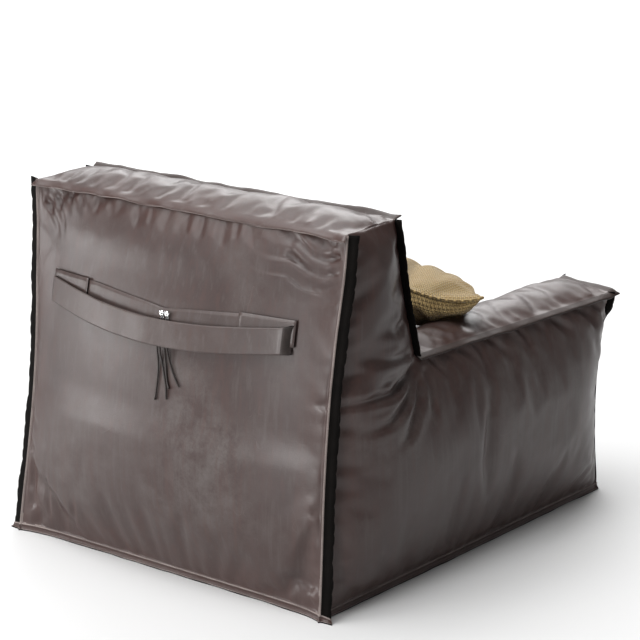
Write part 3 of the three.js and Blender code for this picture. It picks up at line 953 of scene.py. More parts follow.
FOLDS: tuple[Fold, ...] = (
    *side_folds(),
    fold(Panel.REAR, 9.5, 13, -415, 712, -375, 694, -335, 700, -290, 722, -235, 720, -170, 735),
    fold(Panel.REAR, 9.5, 13, -415, 684, -370, 664, -325, 670, -285, 690, -225, 688, -160, 705),
    fold(Panel.REAR, 10, 11, -412, 655, -370, 638, -325, 636, -280, 652, -230, 655),
    fold(Panel.REAR, 10, 7, -410, 625, -365, 610, -320, 604, -270, 612),
    fold(Panel.REAR, 9, 10, -410, 740, -375, 724, -340, 730, -300, 752, -260, 760),
    fold(Panel.REAR, 8.5, 7, 400, 745, 372, 718, 350, 690, 342, 655),
    fold(Panel.REAR, 8.5, 7, 366, 757, 345, 728, 330, 700, 322, 660),
    fold(Panel.REAR, 8.5, 5, 325, 765, 312, 740, 300, 705),
    fold(Panel.REAR, 8.5, 5, 290, 765, 280, 742, 272, 715),
    *(fold(Panel.REAR, 8.5, 2.2, x, 768, x - 6, 745, x - 10, 715) for x in (245, 205, 130, 90, -10, -50, -140)),
    fold(Panel.REAR, 13, 4, -405, 520, -370, 515, -330, 522),
    fold(Panel.REAR, 14, 4, -405, 440, -360, 436, -300, 440),
    fold(Panel.REAR, 14, 3, -400, 60, -350, 75, -290, 60),
    fold(Panel.REAR, 9, 4, 392, 50, 388, 120, 376, 240),
    fold(Panel.REAR, 9, 4, 334, 40, 338, 130, 330, 270),
    fold(Panel.REAR, 10, 3, 262, 40, 250, 80, 245, 130),
    *(fold(Panel.FRONT, 14, 7, s * 291, 262, s * 300, 200, s * 296, 120, s * 290, 60) for s in (1, -1)),
    *(fold(Panel.FRONT, 11, 7, s * 285, 250, s * 340, 245, s * 400, 250) for s in (1, -1)),
    fold(Panel.LEFT_ARM, 13, 8, -210, 480, -200, 430, -195, 390),
    fold(Panel.RIGHT_ARM, 13, 8, -120, 480, -105, 430, -100, 390),
    fold(Panel.LEFT_ARM, 12, 7, -120, 480, -105, 430, -110, 395),
)


# SHADED_LIP_SLOT holds the darker lip hide, which is painted shade on the lips.
HIDE_SLOT, CUT_SLOT, BLACK_SLOT, SHADED_LIP_SLOT = 0, 1, 2, 4  # each one's rim finish lies in the next slot


def lip_rows(*steps: tuple[float, float, int]) -> tuple[tuple[float, float, int], ...]:
    """Steps of (reach, rise, slot) across a lip, from millimetres."""
    return tuple((reach / 1000, rise / 1000, slot) for reach, rise, slot in steps)


LIGHT_ROWS = lip_rows((7, 0.6, HIDE_SLOT), (14, 0, HIDE_SLOT), (19.5, -1, HIDE_SLOT))
# These lips wear the darker lip hide, which paints their shade.
SHADED_LIP_ROWS = lip_rows((6, 0.4, SHADED_LIP_SLOT), (12, 0, SHADED_LIP_SLOT), (17.5, 0, SHADED_LIP_SLOT))
BLACK_ROWS = lip_rows((6, 0, BLACK_SLOT), (12, 0, BLACK_SLOT), (17.5, 0, BLACK_SLOT))
# Rear outer seams: a raised light bead in the cut-edge finish, then a wide black band that is painted shade of
# the gutter between the lip and the side panel.
WELT_AND_GUTTER_SHADE_ROWS = lip_rows(
    (0.8, 2.8, CUT_SLOT), (2.6, 3.8, CUT_SLOT), (4.4, 1.2, CUT_SLOT),
    (5.2, -1.2, BLACK_SLOT), (15, -1.6, BLACK_SLOT), (26, -2, BLACK_SLOT),
)
SHORT_ROWS = lip_rows(
    (0.6, 2.2, CUT_SLOT), (2, 2.2, CUT_SLOT), (2.8, 0.6, HIDE_SLOT),
    (8, 0, HIDE_SLOT), (12.8, 0, HIDE_SLOT), (14.2, 1.2, CUT_SLOT),
)


class Cover:
    """The ten leather panels with their raised raw seams."""

    def __init__(self, wardrobe: Wardrobe) -> None:
        """Keeps the finishes and the shape."""
        self.wardrobe = wardrobe
        self.lattice = Lattice()
        self.shape = CoverShape()
        self.inflation = ClothRun(frames=22, pressure=6.0, slack=0.022, bending=4.0, cap=0.030)

    def build(self) -> list[bpy.types.Object]:
        """Builds, inflates and splits the cover.

        Returns:
            The ten panels.
        """
        hull = self.hull()
        self.inflation.run(hull, "seams")
        hull = self.refine(hull)
        self.crease(hull)
        self.settle(hull)
        panels = [self.panel(hull, which) for which in Panel]
        bpy.data.objects.remove(hull)
        return panels

    def hull(self) -> bpy.types.Object:
        """The whole cover as one closed mesh, with its seams pinned."""
        bm = self.lattice.build()
        grid = bm.verts.layers.float_vector.new("lattice")
        label = bm.faces.layers.int.new("panel")
        wear = bm.verts.layers.float.new("seam_wear")
        bm.normal_update()
        for face in bm.faces:
            face[label] = self.shape.label(face.normal, face.calc_center_median())
        sharp = bm.edges.layers.float.new("crease_edge")
        for edge in bm.edges:
            edge[sharp] = float(len({face[label] for face in edge.link_faces}) > 1)
        pins = []
        for vertex in bm.verts:
            at = vertex.co.copy()
            vertex[grid] = at
            owners = {face[label] for face in vertex.link_faces}
            flat = self.shape.seam_point(at)
            shift = Vector()
            if len(owners) > 1:
                pins.append(vertex.index)
            else:
                shift = self.shape.crown(Panel(owners.pop()), at, flat)
                shift += 0.0012 * Vector([ripple(*(flat * 38 + Vector((k * 9, 0, 0)))) for k in range(3)])
            vertex.co = flat + shift
        bm.verts.ensure_lookup_table()
        seam_points = [bm.verts[k].co.copy() for k in pins]
        self.mark_wear(bm, wear, seam_points)
        piece = publish("cover_hull", bm, ())
        group = piece.vertex_groups.new(name="seams")
        group.add(pins, 1.0, "REPLACE")
        pinch = self.pinch_pins(piece)
        group.add(pinch, 1.0, "REPLACE")
        return piece

    def mark_wear(self, bm: bmesh.types.BMesh, wear: object, seam_points: list[Vector]) -> None:
        """Writes how near each point is to a seam, from 1 on it to 0 well inside."""
        tree = KDTree(len(seam_points))
        for k, point in enumerate(seam_points):
            tree.insert(point, k)
        tree.balance()
        for vertex in bm.verts:
            distance = tree.find(vertex.co)[2]
            vertex[wear] = (1 - smooth(distance / 0.09)) * (0.7 + 0.5 * ripple(*(vertex.co * 9)))

    def pinch_pins(self, piece: bpy.types.Object) -> list[int]:
        """Points that the two stitched pinches of the front hold."""
        held = []
        for vertex in piece.data.vertices:
            x, y, z = vertex.co
            if y < -0.4 and math.hypot(abs(x) - SEAMS.seat_half, z - SEAMS.pinch_z) < 0.012:
                held.append(vertex.index)
        return held

    def refine(self, hull: bpy.types.Object) -> bpy.types.Object:
        """Halves the squares with one rounding that keeps the seams sharp.

        Args:
            hull: the coarse cover, which is removed.

        Returns:
            The fine cover.
        """
        round_off(hull)
        graph = bpy.context.evaluated_depsgraph_get()
        mesh = bpy.data.meshes.new_from_object(hull.evaluated_get(graph))
        fine = bpy.data.objects.new("cover_fine", mesh)
        bpy.context.scene.collection.objects.link(fine)
        bpy.data.objects.remove(hull)
        return fine

    def crease(self, hull: bpy.types.Object) -> None:
        """Adds the puckers along the seams and the long folds.

        Args:
            hull: the fine cover.
        """
        bm = bmesh.new()
        bm.from_mesh(hull.data)
        bm.normal_update()
        label = bm.faces.layers.int["panel"]
        seam = [v for v in bm.verts if len({face[label] for face in v.link_faces}) > 1]
        fixed = set(seam)
        tree = KDTree(len(seam))
        for k, vertex in enumerate(seam):
            tree.insert(vertex.co, k)
        tree.balance()
        moves = {}
        for vertex in bm.verts:
            if vertex in fixed:
                continue
            panel = Panel(vertex.link_faces[0][label])
            near, _, distance = tree.find(vertex.co)
            shift = 0.0
            if panel is not Panel.BASE:
                shift += self.pucker(panel, vertex.co, near, distance)
            for fold in FOLDS:
                if fold.panel is panel:
                    shift += fold.depth_at(vertex.co) * smooth(distance / 0.012)
            moves[vertex] = vertex.normal * shift
        for vertex, move in moves.items():
            vertex.co += move
        bm.to_mesh(hull.data)
        bm.free()

    def pucker(self, panel: Panel, at: Vector, near: Vector, distance: float) -> float:
        """Height of the small gathers that run off a seam.

        Args:
            panel: the panel.
            at: a point on it.
            near: the nearest point of a seam.
            distance: how far that is.

        Returns:
            The rise in metres.
        """
        if distance > 0.11:
            return 0.0
        seed = panel * 5.3
        lean = (at - near) * 0.35
        spot = near + Vector((lean.z, lean.x, lean.y))
        reach = 0.050 + 0.040 * ripple(*(near * 9), ) + 0.012
        fine = ripple(*(spot * 46 + Vector((seed, 0, 0))))
        broad = ripple(*(spot * 21 + Vector((0, seed, 0))))
        strength = 0.6 + 0.7 * ripple(*(near * 5 + Vector((0, 0, seed))))
        fade = smooth(distance / 0.010) * (1 - smooth(distance / max(0.02, reach)))
        return 0.0052 * clamp01(strength) * fade * (0.8 * fine + 0.9 * broad)

    def settle(self, hull: bpy.types.Object) -> None:
        """Keeps the base on the floor and the rear flat enough for the zip."""
        grid = hull.data.attributes["lattice"].data
        for vertex in hull.data.vertices:
            if grid[vertex.index].vector.y > 1.999:
                x, y, z = vertex.co
                away = max(abs(z - 0.497) - 0.100, 0.9 * (abs(x) - 0.310), 0.0)
                flat = SEAMS.panel_y(x, z) - 0.0004
                limit = 0.016 * smooth(away / 0.26)
                near = 1 - smooth(away / 0.10)
                held = flat + limit + 0.25 * max(0.0, y - flat - limit) * (1 - near)
                vertex.co.y = mix(min(y, held), flat, near)
            vertex.co.z = max(vertex.co.z, 0.0030)

    def panel(self, hull: bpy.types.Object, which: Panel) -> bpy.types.Object:
        """Cuts one panel out of the hull and sews its lips on.

        Args:
            hull: the inflated cover.
            which: the panel.

        Returns:
            The finished panel.
        """
        bm = bmesh.new()
        bm.from_mesh(hull.data)
        label = bm.faces.layers.int["panel"]
        others = [face for face in bm.faces if face[label] != which]
        bmesh.ops.delete(bm, geom=others, context="FACES")
        for lip in self.lips():
            if lip.owner is which:
                self.sew(bm, lip)
        w = self.wardrobe
        name = which.node.replace("_panel", "")
        piece = publish(f"cover_{name}", bm, (w.hide, w.cut, w.black, w.black, w.lip_hide_painted_shade, w.dark_cut))
        piece.vertex_groups.clear()
        finish_wall(piece, 0.0026, rim=1, levels=0)
        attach(piece, "body")
        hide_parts(which.node)
        LOG.info("%s: %d faces", piece.name, len(piece.data.polygons))
        return piece

    def sew(self, bm: bmesh.types.BMesh, lip: Lip) -> None:
        """Extrudes a lip from a panel's border.

        Args:
            bm: the panel's mesh.
            lip: the lip.
        """
        grid = bm.verts.layers.float_vector["lattice"]
        wear = bm.verts.layers.float["seam_wear"]
        edges = [e for e in bm.edges if e.is_boundary and all(lip.on_seam(v[grid]) for v in e.verts)]
        if not edges:
            return
        roots = {v: v.co.copy() for e in edges for v in e.verts}
        runs = [p[lip.along] for p in roots.values()]
        low, high = min(runs), max(runs)
        front = {v: v for v in roots}
        reach_all = lip.rows[-1][0]
        for reach, rise, slot in lip.rows:
            made = bmesh.ops.extrude_edge_only(bm, edges=edges)["geom"]
            fresh = [g for g in made if isinstance(g, bmesh.types.BMVert)]
            faces = [g for g in made if isinstance(g, bmesh.types.BMFace)]
            edges = [
                g
                for g in made
                if isinstance(g, bmesh.types.BMEdge) and all(v in fresh for v in g.verts)
            ]
            spots = {tuple(round(c, 7) for c in old.co): root for old, root in front.items()}
            front = {v: spots[tuple(round(c, 7) for c in v.co)] for v in fresh}
            share = reach / reach_all
            for vertex, root in front.items():
                home = roots[root]
                run = home[lip.along]
                way = lip.way(home).normalized()
                face = lip.face(home).normalized()
                seed = lip.along * 7 + lip.owner * 3.1
                width = reach * (1 + 0.10 * share * ripple(run * 17, seed))
                scallop = (0.5 + 0.5 * math.cos(run * 205 + 2 * ripple(run * 6, seed))) ** 4
                width *= 1 - lip.notch * share * scallop
                wave = lip.wave * share**1.4 * ripple(run * 14 + 3, seed) * 1.6
                wave += lip.wave * 0.35 * share * ripple(run * 42, seed, 5)
                target = home + way * width + face * (rise + wave)
                if run <= low + 1e-5:
                    target[lip.along] -= lip.mitre[0] * share
                if run >= high - 1e-5:
                    target[lip.along] += lip.mitre[1] * share
                target.z = max(target.z, 0.0030)
                vertex.co = target
                vertex[wear] = 0.8
            for face in faces:
                face.material_index = slot
        bm.normal_update()

    def lips(self) -> list[Lip]:
        """All raised seams of the cover."""
        lips: list[Lip] = []
        sides = ((1, Panel.LEFT_SIDE, Panel.LEFT_ARM), (-1, Panel.RIGHT_SIDE, Panel.RIGHT_ARM))
        for s, side_panel, arm_panel in sides:
            outer = lambda p, s=s: abs(p.x - 2 * s) < 1e-3
            front_way = lambda p, s=s: Vector((s * mix(-0.5, 1.0, smooth((p.z - 0.40) / 0.08)), -0.8, 0))
            lips += [
                # The rear's outer lips run on into the black band of painted gutter shade.
                Lip(Panel.REAR, lambda p, o=outer: o(p) and p.y > 1.999, 2,
                    always(s, -0.12, 0), always(0, 1, 0), WELT_AND_GUTTER_SHADE_ROWS, 0.0026, (0.004, 0.002), 0.08),
                Lip(Panel.BACKREST, lambda p, o=outer: o(p) and abs(p.y - 1) < 1e-3 and p.z > 1.999, 2,
                    always(s, 0, 0), always(0, -1, 0), BLACK_ROWS, 0.003, (0.0, 0.002), 0.08),
                Lip(Panel.FRONT, lambda p, o=outer: o(p) and p.y < 1e-3, 2,
                    front_way, always(0, -1, 0), BLACK_ROWS, 0.002, (0.006, 0.0), 0.10),
                Lip(side_panel, lambda p, o=outer: o(p) and p.z < 1e-3, 1,
                    always(s * 0.25, 0, -1), always(s, 0, 0), SHORT_ROWS, 0.0012, (0.006, 0.006)),
                Lip(arm_panel, lambda p, o=outer: o(p) and abs(p.z - 2) < 1e-3 and p.y < 1.001, 1,
                    always(s, 0, -0.42), always(s * 0.4, 0, 1), SHADED_LIP_ROWS, 0.0048, (0.004, 0.0)),
                Lip(arm_panel, lambda p: p.y < 1e-3 and abs(p.z - 2) < 1e-3, 0,
                    always(0, -1, 0.20), always(0, 0, 1), SHADED_LIP_ROWS, 0.003,
                    (0.0, 0.004) if s > 0 else (0.004, 0.0)),
                Lip(arm_panel, lambda p: p.y < 1e-3 and abs(abs(p.x) - 1) < 1e-3 and 0.999 < p.z < 2.001, 2,
                    always(-s * 0.2, -1, 0), always(-s, 0, 0), BLACK_ROWS, 0.002),
            ]
        lips += [
            Lip(Panel.TOP, lambda p: p.y > 1.999, 0,
                always(0, 0.84, -0.54), always(0, 0.54, 0.84), LIGHT_ROWS, 0.0042, (0.006, 0.006)),
            Lip(Panel.TOP, lambda p: p.y < 1.001, 0,
                always(0, -0.90, 0.42), always(0, 0.42, 0.90), SHADED_LIP_ROWS, 0.0035, (0.004, 0.004)),
            Lip(Panel.REAR, lambda p: p.z < 1e-3, 0,
                always(0, 0.25, -1), always(0, 1, 0), SHORT_ROWS, 0.0012, (0.006, 0.006)),
            Lip(Panel.FRONT, lambda p: p.z < 1e-3, 0,
                always(0, -0.25, -1), always(0, -1, 0), SHORT_ROWS, 0.0012, (0.006, 0.006)),
            Lip(Panel.SEAT, lambda p: p.y < 1e-3, 0,
                always(0, -1, 0.1), always(0, 0, 1), SHADED_LIP_ROWS, 0.0050),
        ]
        return lips


# ---------- rear zip, band and strap ----------


def millimetres(*values: float) -> Vector:
    """A point given in millimetres."""
    return Vector(values) / 1000


@dataclass(frozen=True)
class FlatStrip:
    """A leather strip that lies on the rear panel at a stand-off."""

    name: str
    node: str
    ends: tuple[float, float]
    head: Callable[[float], float]
    standoff: float
    thickness: float = 0.0022
    columns: int = 60
    rows: int = 6
    foot: float = 0.5455

    def build(self, materials: Sequence[bpy.types.Material]) -> bpy.types.Object:
        """Makes the strip.

        Args:
            materials: hide and edge finish.

        Returns:
            The strip.
        """

        def place(s: float, t: float) -> Vector:
            x = mix(self.ends[0], self.ends[1], s)
            z = mix(self.foot, self.head(x), t)
            return Vector((x, SEAMS.panel_y(x, z) + self.standoff, z))

        bm = sheet_mesh(self.columns, self.rows, place)
        turn_towards(bm, Vector((0, 1, 0)))
        piece = publish(self.name, bm, materials)
        finish_wall(piece, self.thickness, rim=1, levels=0, offset=1)
        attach(piece, "body")
        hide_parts(self.node)
        LOG.info("%s: strip", self.name)
        return piece


@dataclass
class CarryStrap:
    """Wide strap that sags over the zip, flat at its left end and folded back at its right."""

    width: float = 0.054
    end_z: float = 0.587
    sag: float = 0.027
    thickness: float = 0.0035
    standoffs: tuple[tuple[float, float], ...] = (
        (336, 9), (300, 11), (240, 14.5), (180, 17), (120, 18), (60, 18.5), (0, 18.5), (-60, 18.5),
        (-120, 18.5), (-180, 18), (-240, 17.5), (-294, 17), (-303, 15), (-308, 10), (-311, 4), (-313, 1),
    )

    def standoff(self, x: float) -> float:
        """Gap between the strap and the panel at a place across."""
        points = self.standoffs
        for (a, high), (b, low) in zip(points, points[1:]):
            if b <= x * 1000 <= a:
                return mix(low, high, (x * 1000 - b) / (a - b)) / 1000
        return points[0][1] / 1000 if x > 0 else points[-1][1] / 1000

    def build(self, wardrobe: Wardrobe) -> bpy.types.Object:
        """Makes the strap.

        Args:
            wardrobe: the finishes.

        Returns:
            The strap.
        """
        bm = sheet_mesh(90, 8, self.place)
        turn_towards(bm, Vector((0, 1, 0)))
        for face in bm.faces:
            if face.calc_center_median().x < -0.3005:
                face.material_index = 2
        w = wardrobe
        piece = publish("carry_strap_leather", bm, (w.strap_hide, w.black, w.dark_cut, w.black))
        finish_wall(piece, self.thickness, rim=1, levels=1, offset=1)
        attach(piece, "strap")
        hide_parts("carry_strap")
        return piece

    def place(self, s: float, t: float) -> Vector:
        """A point of the strap, s from its left end to its right and t from foot to head."""
        x = mix(0.336, -0.294, s / 0.9) if s < 0.9 else mix(-0.294, -0.313, (s - 0.9) / 0.1)
        lift = self.sag * arch((x + 0.313) / 0.649)
        z = self.end_z - lift - self.width * (1 - t)
        off = self.standoff(x)
        curl = smooth((-x - 0.300) / 0.013) * (2 * t - 1) ** 4
        z += 0.003 * curl * math.copysign(1, t - 0.5)
        belly = 0.0016 * ripple(x * 16, t * 1.2) * arch((x + 0.313) / 0.649)
        return Vector((x - 0.004 * curl, SEAMS.panel_y(x, z) + off + belly + 0.002 * curl, z))


class RearFastening:
    """Zip, cover band, end tabs, strap, sliders, pulls and laces."""

    pull_z: float = 0.570
    pull_standoff: float = 0.009
    sliders: dict[str, float] = {"left": -0.0025, "right": -0.0165}
    routes: dict[str, tuple[tuple[float, float, float], ...]] = {
        "lace_left_outer": (
            (0.5, 11, 560), (0, 11, 545), (-1, 11, 525), (-2.3, 10.6, 508), (-4, 8, 490), (-5.6, 4.6, 473),
            (-6.5, 3.1, 455), (-6.5, 3, 437), (-5.6, 3, 420), (-4.8, 3, 402), (-3.2, 3, 390.5),
        ),
        "lace_left_inner": (
            (-5.5, 11, 560), (-6, 11, 545), (-7, 11, 525), (-8.7, 10.6, 508), (-11.5, 8, 490), (-15, 4.6, 474),
            (-19, 3.1, 459), (-23.7, 3, 445), (-28, 3, 432), (-31.5, 3, 415), (-33, 3, 397),
        ),
        "lace_right_inner": (
            (-13.5, 11, 560), (-15, 11, 545), (-19, 11, 525), (-22.3, 10.6, 509), (-23.3, 8, 491),
            (-24.5, 4.6, 476), (-26.8, 3.1, 460), (-29.5, 3, 446), (-33.4, 3, 432), (-38.4, 3, 419.5),
        ),
        "lace_right_outer": (
            (-19.5, 11, 560), (-21, 11, 545), (-25, 11, 525), (-28.1, 10.6, 510), (-31, 8, 493),
            (-34.4, 4.6, 478), (-38.5, 3.1, 467), (-43.5, 3, 458), (-53.8, 3, 441.6), (-64.3, 3, 427.7),
        ),
    }
    knotted: tuple[str, ...] = ("lace_left_outer", "lace_right_inner")
    pull_profile: tuple[tuple[float, float], ...] = (
        (0, 0), (5.2, 0), (6.4, 0.9), (6.4, 2.4), (5.7, 3.6), (4.5, 4),
        (3.7, 3.2), (3.2, 2.6), (2.4, 3.6), (1.2, 4.7), (0, 5),
    )

    def __init__(self, wardrobe: Wardrobe) -> None:
        """Keeps the finishes."""
        self.wardrobe = wardrobe

    def laces(self) -> None:
        """Makes the four thongs that hang from the pulls."""
        for name, route in self.routes.items():
            points = [
                Vector((x, 1000 * SEAMS.panel_y(x / 1000, z / 1000) + off, z)) / 1000 for x, off, z in route
            ]
            points = self.ease(points)
            curve = bpy.data.curves.new(f"{name}_thong", "CURVE")
            curve.dimensions = "3D"
            curve.bevel_depth = 0.0021
            curve.bevel_resolution = 3
            curve.use_fill_caps = True
            spline = curve.splines.new("POLY")
            spline.points.add(len(points) - 1)
            for spot, place in zip(spline.points, points):
                spot.co = (*place, 1)
            curve.materials.append(self.wardrobe.thong)
            piece = bpy.data.objects.new(f"{name}_thong", curve)
            bpy.context.scene.collection.objects.link(piece)
            body = "slider_left" if "left" in name else "slider_right"
            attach(piece, body)
            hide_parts(name)
            extras = [self.knot(name, points, body)] if name in self.knotted else []
            length = sum((b - a).length for a, b in zip(points, points[1:]))
            LOG.info("%s: %.1f mm long", piece.name, 1000 * length)

    def ease(self, points: list[Vector]) -> list[Vector]:
        """Adds points between the route's points on a smooth curve through them."""
        eased = []
        padded = [2 * points[0] - points[1], *points, 2 * points[-1] - points[-2]]
        for a, b, c, d in zip(padded, padded[1:], padded[2:], padded[3:]):
            for k in range(3):
                t = k / 3
                square = (2 * a - 5 * b + 4 * c - d) * t * t
                cube = (3 * b - a - 3 * c + d) * t**3
                eased.append(0.5 * (2 * b + (c - a) * t + square + cube))
        eased.append(points[-1])
        return eased

    def knot(self, name: str, points: list[Vector], body: str) -> bpy.types.Object:
        """A small overhand knot round a lace's end.

        Args:
            name: the lace.
            points: the lace's route.
            body: the CAD body that it rides on.

        Returns:
            The knot.
        """
        bm = bmesh.new()
        way = (points[-1] - points[-2]).normalized()
        centre = points[-1] - way * 0.0024
        turn = way.to_track_quat("Z", "Y").to_matrix().to_4x4()
        bmesh.ops.create_uvsphere(bm, u_segments=20, v_segments=12, radius=0.0029)
        for vertex in bm.verts:
            angle = math.atan2(vertex.co.y, vertex.co.x)
            vertex.co *= 1 + 0.10 * math.sin(3 * angle + 900 * vertex.co.z)
        bmesh.ops.transform(bm, matrix=Matrix.Translation(centre) @ turn, verts=bm.verts)
        piece = publish(f"{name}_knot", bm, (self.wardrobe.thong,))
        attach(piece, body)
        return piece

    def pulls(self) -> None:
        """Makes the two round metal pulls, each with a small loop."""
        for side, x in self.sliders.items():
            y = SEAMS.panel_y(x, self.pull_z) + self.pull_standoff
            bm = bmesh.new()
            spots = [bm.verts.new(millimetres(r, h, 0)) for r, h in self.pull_profile]
            edges = [bm.edges.new(pair) for pair in zip(spots, spots[1:])]
            bmesh.ops.spin(
                bm, geom=spots + edges, cent=(0, 0, 0), axis=(0, 1, 0),
                angle=2 * math.pi, steps=32, use_merge=True,
            )
            bmesh.ops.remove_doubles(bm, verts=bm.verts, dist=1e-6)
            bmesh.ops.recalc_face_normals(bm, faces=bm.faces)
            bmesh.ops.translate(bm, verts=bm.verts, vec=(x, y, self.pull_z))
            piece = publish(f"zip_pull_{side}_disc", bm, (self.wardrobe.metal,))
            round_off(piece)
            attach(piece, f"slider_{side}")
            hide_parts(f"zip_pull_{side}")

    def strips(self) -> None:
        """Makes the band over the zip, the two end tabs and the strap."""
        w = self.wardrobe
        # The strips' rims are black. They are dyed cut edges, and they also paint the dark line of shade along
        # the band's head and at the tabs' ends.
        materials = (w.strap_hide, w.black)
        band_head = lambda x: 0.577 + 0.019 * clamp01(abs(x) / 0.2) ** 0.8
        strips = (
            FlatStrip("zip_band", "upper_band", (-0.300, 0.312), band_head, 0.001),
            FlatStrip("left_tab", "left_end_tab", (0.225, 0.338), lambda x: 0.600, 0.0042, 0.003, 16),
            FlatStrip("right_tab", "right_end_tab", (-0.322, -0.190), lambda x: 0.599, 0.0042, 0.003, 16),
        )
        for strip in strips:
            strip.build(materials)
        CarryStrap().build(w)

    def build(self) -> None:
        """Makes everything but the laces, which come first."""
        self.pulls()
        self.strips()
        LOG.info("rear fastening made")


# ---------- the scatter cushion ----------


class ScatterCushion:
    """Loose square cushion, leaning on the backrest and folded over the right arm."""

    apex = millimetres(-75, 158, 690)
    arm_corner = millimetres(-453, -12, 568)
    seat_corner = millimetres(178, -32, 446)
    front_corner = millimetres(-215, -218, 484)
    cells: int = 44
    piping_radius: float = 0.0032

    def __init__(self, wardrobe: Wardrobe) -> None:
        """Keeps the finishes and works out which way the cushion faces."""
        self.wardrobe = wardrobe
        across = self.seat_corner - self.arm_corner
        self.normal = across.cross(self.apex - self.front_corner).normalized()
        self.inflation = ClothRun(frames=14, pressure=3.0, slack=0.05, bending=0.6, cap=0.022)

    def middle(self, u: float, v: float) -> Vector:
        """A point of the sheet through the seam, sagging behind the arm corner."""
        low = self.arm_corner.lerp(self.front_corner, u)
        high = self.apex.lerp(self.seat_corner, u)
        sag = 0.040 * (1 - u) ** 2 * math.sin(math.pi * v**0.62) ** 1.5 if 0 < v < 1 else 0.0
        return low.lerp(high, v) - Vector((0, 0, sag))

    def height(self, u: float, v: float) -> float:
        """Height of the crown over that sheet before the inflation."""
        crown = 0.070 * max(0.0, arch(u) * arch(v)) ** 0.36
        crease = 0.5 + 0.5 * math.cos(2 * math.pi * (v * 3.1 + 0.5 * u + 0.25 * ripple(u * 3, v * 3)))
        return crown - 0.008 * crease**4 * arch(u) ** 0.5 * arch(v) ** 0.5

    def bag(self) -> bpy.types.Object:
        """Both covers as one closed mesh with its seam pinned, marked by side."""
        bm = bmesh.new()
        side = bm.faces.layers.int.new("side")
        spot = bm.verts.layers.float_vector.new("spot")
        uv = bm.loops.layers.uv.new("weave")
        for index, way in ((0, 1), (1, -1)):
            made = bmesh.ops.create_grid(
                bm, x_segments=self.cells, y_segments=self.cells, size=0.5, calc_uvs=False
            )
            faces = {face for vertex in made["verts"] for face in vertex.link_faces}
            for face in faces:
                face[side] = index
                for loop in face.loops:
                    loop[uv].uv = (loop.vert.co.x + 0.5, loop.vert.co.y + 0.5)
            for vertex in made["verts"]:
                u, v = vertex.co.x + 0.5, vertex.co.y + 0.5
                slump = 1 - 0.76 * smooth((v - 0.04) / 0.34) * (1 - smooth(u / 0.7))
                share = slump if way > 0 else mix(0.58, 1.35, (1 - u) * (1 - v) ** 0.6)
                vertex[spot] = Vector((u, v, 0))
                vertex.co = self.middle(u, v) + self.normal * way * share * self.height(u, v)
        bmesh.ops.remove_doubles(bm, verts=bm.verts, dist=1e-5)
        bmesh.ops.recalc_face_normals(bm, faces=bm.faces)
        bm.verts.index_update()
        seam = [v.index for v in bm.verts if len({face[side] for face in v.link_faces}) > 1]
        piece = publish("cushion_bag", bm, ())
        piece.vertex_groups.new(name="seam").add(seam, 1.0, "REPLACE")
        return piece

    def cover(self, bag: bpy.types.Object, index: int, name: str) -> None:
        """Cuts one cover out of the bag.

        Args:
            bag: the inflated bag.
            index: its side.
            name: front or back.
        """
        bm = bmesh.new()
        bm.from_mesh(bag.data)
        side = bm.faces.layers.int["side"]
        bmesh.ops.delete(bm, geom=[face for face in bm.faces if face[side] != index], context="FACES")
        turn_towards(bm, self.normal * (1 - 2 * index))
        piece = publish(f"cushion_{name}", bm, (self.wardrobe.weave,))
        piece.vertex_groups.clear()
        finish_wall(piece, 0.0016)
        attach(piece, "cushion")
        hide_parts(f"cushion_{name}_cover")

    def pad(self, bag: bpy.types.Object) -> None:
        """The plain inner pad, a little smaller than the bag."""
        bm = bmesh.new()
        bm.from_mesh(bag.data)
        spot = bm.verts.layers.float_vector["spot"]
        for vertex in bm.verts:
            u, v, _ = vertex[spot]
            rise = vertex.co - self.middle(u, v)
            vertex.co = self.middle(0.5 + 0.74 * (u - 0.5), 0.5 + 0.74 * (v - 0.5)) + 0.70 * rise
        piece = publish("cushion_pad", bm, (self.wardrobe.pad,))
        piece.vertex_groups.clear()
        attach(piece, "cushion")
        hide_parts("cushion_inner_pad")

    def piping(self) -> None:
        """The round cord sewn into the seam."""
        n = self.cells * 2
        share = [k / n for k in range(n)]
        border = [(t, 0.0) for t in share] + [(1.0, t) for t in share]
        border += [(1 - t, 1.0) for t in share] + [(0.0, 1 - t) for t in share]
        line = [self.middle(u, v) for u, v in border]
        for _ in range(3):
            line = [(line[k - 1] + 2 * p + line[(k + 1) % len(line)]) / 4 for k, p in enumerate(line)]
        bm = bmesh.new()
        uv = bm.loops.layers.uv.new("weave")
        rings = []
        for k, point in enumerate(line):
            along = (line[(k + 1) % len(line)] - line[k - 1]).normalized()
            out = along.cross(self.normal).normalized()
            up = out.cross(along)
            turns = [2 * math.pi * j / 10 for j in range(10)]
            circle = [self.piping_radius * (out * math.cos(a) + up * math.sin(a)) for a in turns]
            rings.append([bm.verts.new(point + spoke) for spoke in circle])
        for k, ring in enumerate(rings):
            following = rings[(k + 1) % len(rings)]
            for j in range(10):
                face = bm.faces.new((ring[j], following[j], following[(j + 1) % 10], ring[(j + 1) % 10]))
                for loop, (du, dv) in zip(face.loops, ((0, 0), (1, 0), (1, 1), (0, 1))):
                    loop[uv].uv = ((k + du) * 0.0057, (j + dv) * 0.0045)
        bmesh.ops.recalc_face_normals(bm, faces=bm.faces)
        piece = publish("cushion_seam_cord", bm, (self.wardrobe.weave,))
        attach(piece, "cushion")
        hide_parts("cushion_piping")

    def build(self) -> None:
        """Makes the two covers and the piping."""
        bag = self.bag()
        self.inflation.run(bag, "seam")
        for index, name in enumerate(("front", "back")):
            self.cover(bag, index, name)
        self.pad(bag)
        bpy.data.objects.remove(bag)
        self.piping()
        LOG.info("cushion made")


# ---------- studio ----------


CHAIR_MIDDLE = (0.0, 0.0, 0.4)


